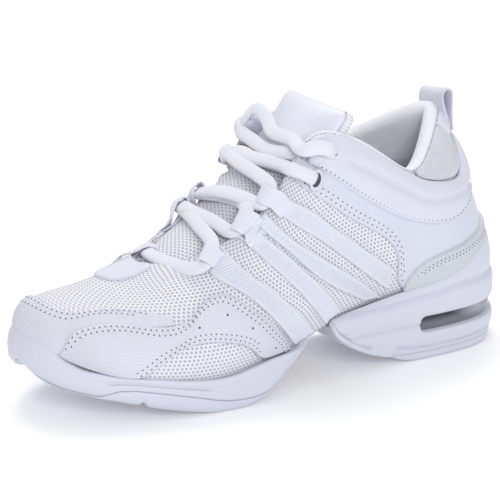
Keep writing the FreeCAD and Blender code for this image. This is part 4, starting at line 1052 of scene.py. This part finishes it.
def build_lace_bands():
    """Webbing at the top of each strap: it rises off the strap, round the lace and back under itself."""
    places, centres, along, _ = lace_line()
    for number, (side, stop, lower, upper, half) in enumerate(LACE_BANDS):
        target = np.array([np.interp(stop, np.arange(len(places)), places[:, n]) for n in range(3)])
        at = np.linalg.norm(centres - target, axis=1).argmin()
        middle, run = centres[at], along[at]
        root, foot, low = skin(np.array([lower, upper, upper]), np.array([3.42, 3.62, 3.6]),
                               np.array([1.2, 2.0, 0.2]))
        outward, face = skin_frame(np.full(2, upper), np.array([3.7, 3.6]))[2]
        away = unit(foot - middle - run * ((foot - middle) @ run))
        over = np.cross(run, away)
        over = over if over @ outward > 0 else -over
        ring = [middle + away * a + over * b for a, b in
                ((3.6, 2.3), (0.8, 2.85), (-2.4, 2.3), (-4.5, 0.0), (-2.4, -2.3), (0.8, -2.7), (3.8, -2.4))]
        path = resample([root, foot] + ring + [low], 0.6)
        share = np.linspace(0, 1, len(path))[:, None]
        strap_way = unit(np.cross(face, foot - root))
        strap_way = strap_way if strap_way @ run > 0 else -strap_way
        blend = smooth_step(share, 0.05, 0.45) * (1 - smooth_step(share, 0.75, 1.0))
        across = strap_way * (1 - blend) + run * blend
        band = sweep("lace_band_%d" % number, "web", path, across, half, 0.55, 0.8, sides=36, flatness=6.0)
        fixed(band, FORE, *(["lace_loops_" + side] if number in (0, 3) else []), slot="white_webbing")


# ---------------------------------------------------------------- soles
def along_x(table, x):
    """Smooth value at x of a table of (x, value) pairs in growing order of x."""
    table = np.asarray(table, float)
    at, value = table[:, 0], table[:, 1]
    slope = np.gradient(value, at)
    k = np.clip(np.searchsorted(at, x, side="right") - 1, 0, len(at) - 2)
    gap = at[k + 1] - at[k]
    f = np.clip((x - at[k]) / gap, 0, 1)
    chord = (value[k + 1] - value[k]) / gap
    limit = 2.5 * abs(chord)
    steep = [np.where(slope[i] * chord > 0, np.clip(slope[i], -limit, limit), 0) for i in (k, k + 1)]
    return (value[k] * (1 + 2 * f) * (1 - f) ** 2 + value[k + 1] * f ** 2 * (3 - 2 * f)
            + gap * f * (1 - f) * (steep[0] * (1 - f) - steep[1] * f))


class Outline:
    """Plan of a sole unit: a smooth line from its free end along both sides to where they meet."""

    def __init__(self, sides, x):
        table = np.asarray(sides, float)
        plan = np.concatenate([table[:, :2], table[-2::-1, [0, 2]]])
        line = curve_through(plan, count=4000)
        tip = np.argmax(np.abs(line[:, 0] - table[0, 0]))
        ahead = unit(np.gradient(line, axis=0))
        inward = np.stack([-ahead[:, 1], ahead[:, 0]], axis=1)
        inward = inward if ((line.mean(axis=0) - line) * inward).sum() > 0 else -inward
        self.x, self.y, self.normal = x, [], []
        for part in (slice(0, tip + 1), slice(len(line), tip - 1, -1)):
            order = np.argsort(line[part, 0])
            place = line[part][order]
            self.y.append(np.interp(x, place[:, 0], place[:, 1]))
            way = inward[part][order]
            self.normal.append(unit(np.stack([np.interp(x, place[:, 0], way[:, n]) for n in (0, 1)], axis=1)))
        self.y[1][-1] = self.y[0][-1]
        self.normal[0][-1] = self.normal[1][-1] = unit(self.normal[0][-1] + self.normal[1][-1])

    def part(self, keep):
        """The same plan at fewer places."""
        piece = object.__new__(Outline)
        piece.x = self.x[keep]
        piece.y, piece.normal = [[side[keep] for side in pair] for pair in (self.y, self.normal)]
        return piece

    def unit_piece(self, name, rows, material):
        """Closed piece whose walls follow rows of (height, inset), from its underside up to its footbed."""
        grids = []
        for normal, y in zip(self.normal, self.y):
            walls = [np.broadcast_arrays(self.x + normal[:, 0] * inset, y + normal[:, 1] * inset, height)
                     for height, inset in rows]
            grids.append(np.array(walls).transpose(2, 0, 1))
        lateral, medial = grids
        share = np.linspace(0, 1, 14)[1:-1]
        over = np.array([lateral[:, -1] * (1 - f) + medial[:, -1] * f for f in share]).transpose(1, 0, 2)
        under = np.array([medial[:, 0] * (1 - f) + lateral[:, 0] * f for f in share]).transpose(1, 0, 2)
        points = np.concatenate([lateral, over, medial[:, ::-1], under], axis=1)
        return ring_object(name, points, material, points[..., :2])


FOREFOOT_SIDES = [
    (-131.4, 5.5, 5.6), (-131, 1.5, 10), (-130, -3.5, 14), (-128, -9, 18.2), (-125, -14.5, 22.2),
    (-121, -19.8, 26.2), (-117, -24, 29.2), (-104, -33, 36.8), (-88, -40.5, 42.8), (-75, -44.2, 45.4),
    (-62, -46.5, 46.8), (-50, -47.5, 47.5), (-37, -47.5, 46.9), (-26, -46.6, 44.6), (-14, -44, 40.5),
    (-4, -42.3, 37.5), (1, -41.6, 36.4),
]
FOREFOOT_TOP = [
    (-131.4, 42), (-127, 38.6), (-123, 35), (-120, 31.4), (-115, 27.8), (-105, 24.8), (-91, 22.2),
    (-80, 20.6), (-65, 18.2), (-48, 16.8), (-40, 17.4), (-30, 19.2), (-19, 20.8), (-10, 21.2),
    (-3, 22.6), (1, 25.5),
]
# Where the midsole meets the outsole.
FOREFOOT_PART = [
    (-131.4, 24.6), (-130, 22.2), (-123, 17.2), (-115, 14.8), (-108, 13.6), (-103, 14.6), (-98, 16.2),
    (-92, 16.2), (-85, 15), (-62, 9.7), (-45, 5.4), (-30, 4.6), (-20, 7), (-12, 12.5), (-6.5, 19.2),
    (1, 24.9),
]
FOREFOOT_BASE = [
    (-131.4, 24), (-130, 21.5), (-123, 16.4), (-115, 13.8), (-105, 12), (-92, 9), (-77, 5.2), (-62, 2),
    (-50, 0), (-36, 0), (-30, 1.4), (-20, 5.4), (-12, 11), (-5, 16.5), (1, 23.5),
]
HEEL_SIDES = [
    (18, -37.2, 31.8), (27, -36.6, 31.2), (40, -35.5, 30), (56, -34.6, 29.6), (70, -34.5, 30),
    (90, -33.9, 30.4), (100, -32.6, 29.2), (108, -30.6, 26.6), (114, -27.8, 23.8), (119, -24.2, 20.2),
    (123, -20.2, 16), (126.4, -15.6, 11.4), (128.8, -11.4, 7.2), (130.4, -7.6, 3.4), (131.2, -4.9, 0.6),
    (131.5, -2.3, -2.2),
]
HEEL_TOP = [
    (18, 30.9), (27, 32.5), (40, 34.2), (56, 36.2), (70, 38), (80, 39.5), (90, 41.7), (98, 44.3),
    (106, 47.4), (112, 50), (118, 52.5), (124, 54), (131.5, 54.4),
]
HEEL_BASE = [
    (18, 26.6), (20.4, 22.3), (24, 18.6), (29, 15), (34.8, 11.6), (41, 8.6), (46.4, 6.6), (54, 4.6),
    (60, 4.2), (131.5, 4.2),
]
HEEL_GROOVE = [
    (18, 30), (23, 31), (53, 31), (69, 32.1), (86, 33.3), (96, 35), (131.5, 35),
]
HEEL_LEDGE = [
    (18, 0), (54, 6), (58, 8.6), (63, 7.5), (76, 6.2), (87, 6.2), (106, 6.6), (131.5, 6.6),
]
HEEL_LEAN = [(18, 0.6), (90, 1.0), (110, 2.2), (124, 3.4), (131.5, 3.9)]
TREAD_BASE = [
    (54, 4.6), (58, 2.8), (63, 1.1), (68, 0), (112, 0), (120, 1), (126, 2), (130.4, 2.6),
]
TREAD_TOP = [(54, 5.2), (58, 4.6), (64, 4.3), (130.4, 4.3)]
WINDOW_FRONT, WINDOW_ROUND, WINDOW_HEIGHT = 70.6, 4.2, 18.4


def round_end(start, count, reach):
    """Places along x from where a sole's sides turn in to its end, closer together near the end."""
    return start + reach * np.sin(np.linspace(0, 1, count) * np.pi / 2)


def build_forefoot_sole():
    """Midsole and outsole of the ball, each from rows of (height, inset) up its wall."""
    x = np.concatenate([np.linspace(1, -100, 92)[:-1], round_end(-100, 46, -31.4)])
    outline = Outline(FOREFOOT_SIDES, x)
    top, part, base = [along_x(table, x) for table in (FOREFOOT_TOP, FOREFOOT_PART, FOREFOOT_BASE)]
    base = base + 2.0 * np.exp(-((x + 87.5) / 1.3) ** 2)
    crease = 0.35 * smooth_step(x, -112, -103) * (1 - smooth_step(x, -44, -34))
    tall = np.clip((top - part) / 9.0, 0.1, 1.0)
    toe = smooth_step(-x, 103, 112)
    lean = 2.2 * smooth_step(-x, 108, 126)
    rows = [
        (part - 0.1, 9.0), (part - 0.1, 1.2 + 2.6 * toe), (part + 0.2, 0.4 + 2.8 * toe),
        (part + 1.4 * tall, 0.1 + 1.5 * toe), (part + 3.4 * tall, 0.05 + 0.5 * toe), ((part + top) / 2, 0.0),
        (top - 4.6 * tall, 0.1 + lean * 0.3), (top - 3.9 * tall, 0.15 + crease + lean * 0.4),
        (top - 3.5 * tall, 0.25 + crease * 1.4 + lean * 0.4),
        (top - 3.0 * tall, 0.2 + crease * 0.6 + lean * 0.5),
        (top - 2.2 * tall, 0.15 + lean * 0.7), (top - 0.9 * tall, 0.35 + lean * 0.9),
        (top - 0.25 * tall, 0.75 + lean), (top, 1.3 + lean), (top - 0.1 * tall, 2.2 + lean),
        (top - 0.7 * tall, 4.4 + lean), (top - 4.2 * tall, 7.0 + lean)]
    fixed(outline.unit_piece("forefoot_midsole_unit", rows, "sole"), FORE, "forefoot_midsole",
          slot="midsole_foam")
    low = np.minimum(base, part - 0.3)
    height = part - 0.15 - low
    low_bed = low + 0.7 * (np.sin(x * 2 * np.pi / 6.4) > 0.55) * (x > -118) * (x < -14)
    rows = [
        (low_bed, 14.0), (low_bed, 7.0), (low, 5.8), (low, 2.6 + 2.2 * toe),
        (low + 0.1 * height, 1.5 + 2.6 * toe), (low + 0.4 * height, 0.7 + 2.8 * toe),
        (low + 0.8 * height, 0.25 + 3.0 * toe), (low + 0.95 * height, 0.3 + 3.0 * toe),
        (part - 0.15, 0.7 + 3.0 * toe), (part - 0.15, 9.0)]
    fixed(outline.unit_piece("forefoot_tread_unit", rows, "tread"), FORE, "forefoot_outsole",
          slot="sole_rubber")


def rising(rows, top):
    """Rows whose heights each stay at least a little over the one before, and under the top."""
    held, last = [], None
    for height, inset in rows:
        last = height + 0 * top if last is None else np.maximum(height, last + 0.02)
        held.append((np.minimum(last, top), inset))
    return held


def build_heel_sole():
    """Heel midsole with its window and grooves, a dark sheet of painted shade and highlights in the window,
    and the clear cushion.
    """
    front, end_of_round = WINDOW_FRONT, WINDOW_FRONT + WINDOW_ROUND
    x = np.concatenate([np.linspace(18, front, 54)[:-1], np.linspace(front, end_of_round, 14)[:-1],
                        np.linspace(end_of_round, 100, 24)[:-1], round_end(100, 60, 31.5)])
    outline = Outline(HEEL_SIDES, x)
    top, base, groove, ledge, lean = [along_x(table, x) for table in
                                      (HEEL_TOP, HEEL_BASE, HEEL_GROOVE, HEEL_LEDGE, HEEL_LEAN)]
    groove = np.minimum(groove, top - 1.2)
    short = (end_of_round - np.minimum(x, end_of_round)) / WINDOW_ROUND
    opening = np.sqrt(np.clip(1 - short ** 2, 0, 1)) * (x >= front)
    half, deep = 0.3 + 3.7 * opening, 6.5 * np.clip(opening * 4, 0, 1)
    middle = np.maximum(WINDOW_HEIGHT, base + 1.2)
    low, high = middle - half, middle + half
    ledge = np.maximum(ledge, base + 1.2)
    in_groove = smooth_step(x, 18, 24)
    low_groove = smooth_step(x, 54, 60)
    bulge = 0.9 * (1 - smooth_step(x, 40, 78)) + 0.5 * smooth_step(x, 80, 110)
    above = top - groove
    rows = rising([
        (base, 9.0), (base, 2.6), (base + 0.3, 1.5), (ledge - 0.9, 1.0 + 0.8 * low_groove),
        (ledge, 0.8 + 1.9 * low_groove), (ledge + 0.8, 0.6 + 0.7 * low_groove), (ledge + 2.2, 0.5),
        (middle - 6.4, 0.15), (low - 1.4, 0.3), (low - 0.4, 0.7), (low, 1.2), (low + 0.25, 1.3 + deep),
        (high - 0.25, 1.3 + deep), (high, 1.3), (high + 0.4, 0.8), (high + 1.4, 0.35),
        (np.maximum(groove - 5.5, high + 2), 0.5 - bulge * 0.6), (groove - 2.6, 0.6 - bulge * 0.5),
        (groove - 1.2, 0.9), (groove - 0.35, 1.3 + 0.8 * in_groove),
        (groove + 0.25, 1.4 + 0.9 * in_groove + lean * 0.1),
        (groove + 1.0, 0.9 + 0.5 * in_groove + lean * 0.15),
        (groove + 0.35 * above, 0.3 + lean * 0.35), (groove + 0.6 * above, 0.1 + lean * 0.6),
        (top - 1.6, 0.25 + lean * 0.9), (top - 0.5, 0.6 + lean), (top - 0.05, 1.1 + lean)], top)
    rows += [(top, 1.6 + lean), (top - 0.3, 2.2 + lean), (top - 2.0, 2.8 + lean),
             (np.maximum(top - 7.5, base + 0.6), 4.2 + lean * 1.6)]
    fixed(outline.unit_piece("heel_midsole_unit", rows, "sole"), REAR, "heel_midsole", slot="midsole_foam")
    keep = np.flatnonzero(x >= front + 0.8)
    window = outline.part(keep)
    h, m = half[keep], middle[keep]
    # Dark sheet behind the cushion: painted shade inside the window, with painted highlights.
    window_shade = [(m - h + 0.3, 12.0), (m - h + 0.3, 7.4), (m + h - 0.3, 7.4), (m + h - 0.3, 12.0)]
    fixed(window.unit_piece("window_painted_light", window_shade, "window_shade"), REAR, slot="clear_cushion")
    bag = [(m - h + 0.35, 7.0), (m - h + 0.35, 3.4), (m - 0.75 * h, 2.6), (m - 0.3 * h, 2.2),
           (m + 0.3 * h, 2.2), (m + 0.75 * h, 2.6), (m + h - 0.35, 3.4), (m + h - 0.35, 7.0)]
    fixed(window.unit_piece("air_cushion_bag", bag, "clear"), REAR, "heel_air_cushion", slot="clear_cushion")


def build_heel_tread():
    """Heel outsole, with grooves across its tread."""
    x = np.concatenate([np.linspace(54, 100, 140)[:-1], round_end(100, 40, 30.4)])
    sides = [(place - (0.9 if place > 120 else 0), lateral + 1.4, medial - 1.4)
             for place, lateral, medial in HEEL_SIDES[:-1]]
    outline = Outline(sides + [(130.4, -2.3, -2.2)], x)
    base = along_x(TREAD_BASE, x)
    top = np.maximum(along_x(TREAD_TOP, x), base + 0.4)
    grooved = base + 1.5 * (np.abs((x - 62.5) % 10 - 5) < 1.5) * (x > 64) * (x < 110)
    rows = [(grooved, 14.0), (grooved, 6.0), (base, 4.6), (base, 2.0), (base + 0.3, 1.0),
            (base + 0.5 * (top - base), 0.4), (top - 0.4, 0.5), (top, 1.0), (top, 9.0)]
    fixed(outline.unit_piece("heel_tread_unit", rows, "tread"), REAR, "heel_outsole", slot="sole_rubber")


def paint_cad_nodes():
    """Every CAD node that stays in the scene gets a finish too."""
    for name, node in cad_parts.items():
        node.data.materials.clear()
        node.data.materials.append(MATERIAL["sole" if "sole" in name else "leather"])


for build in (build_camera, build_studio, build_upper, build_lining, build_toe, build_straps, build_quarters,
              build_heel_panels, build_tongue, build_insole, build_pull_loop, build_lace_bands, build_lace,
              build_forefoot_sole, build_heel_sole, build_heel_tread, paint_cad_nodes):
    build()
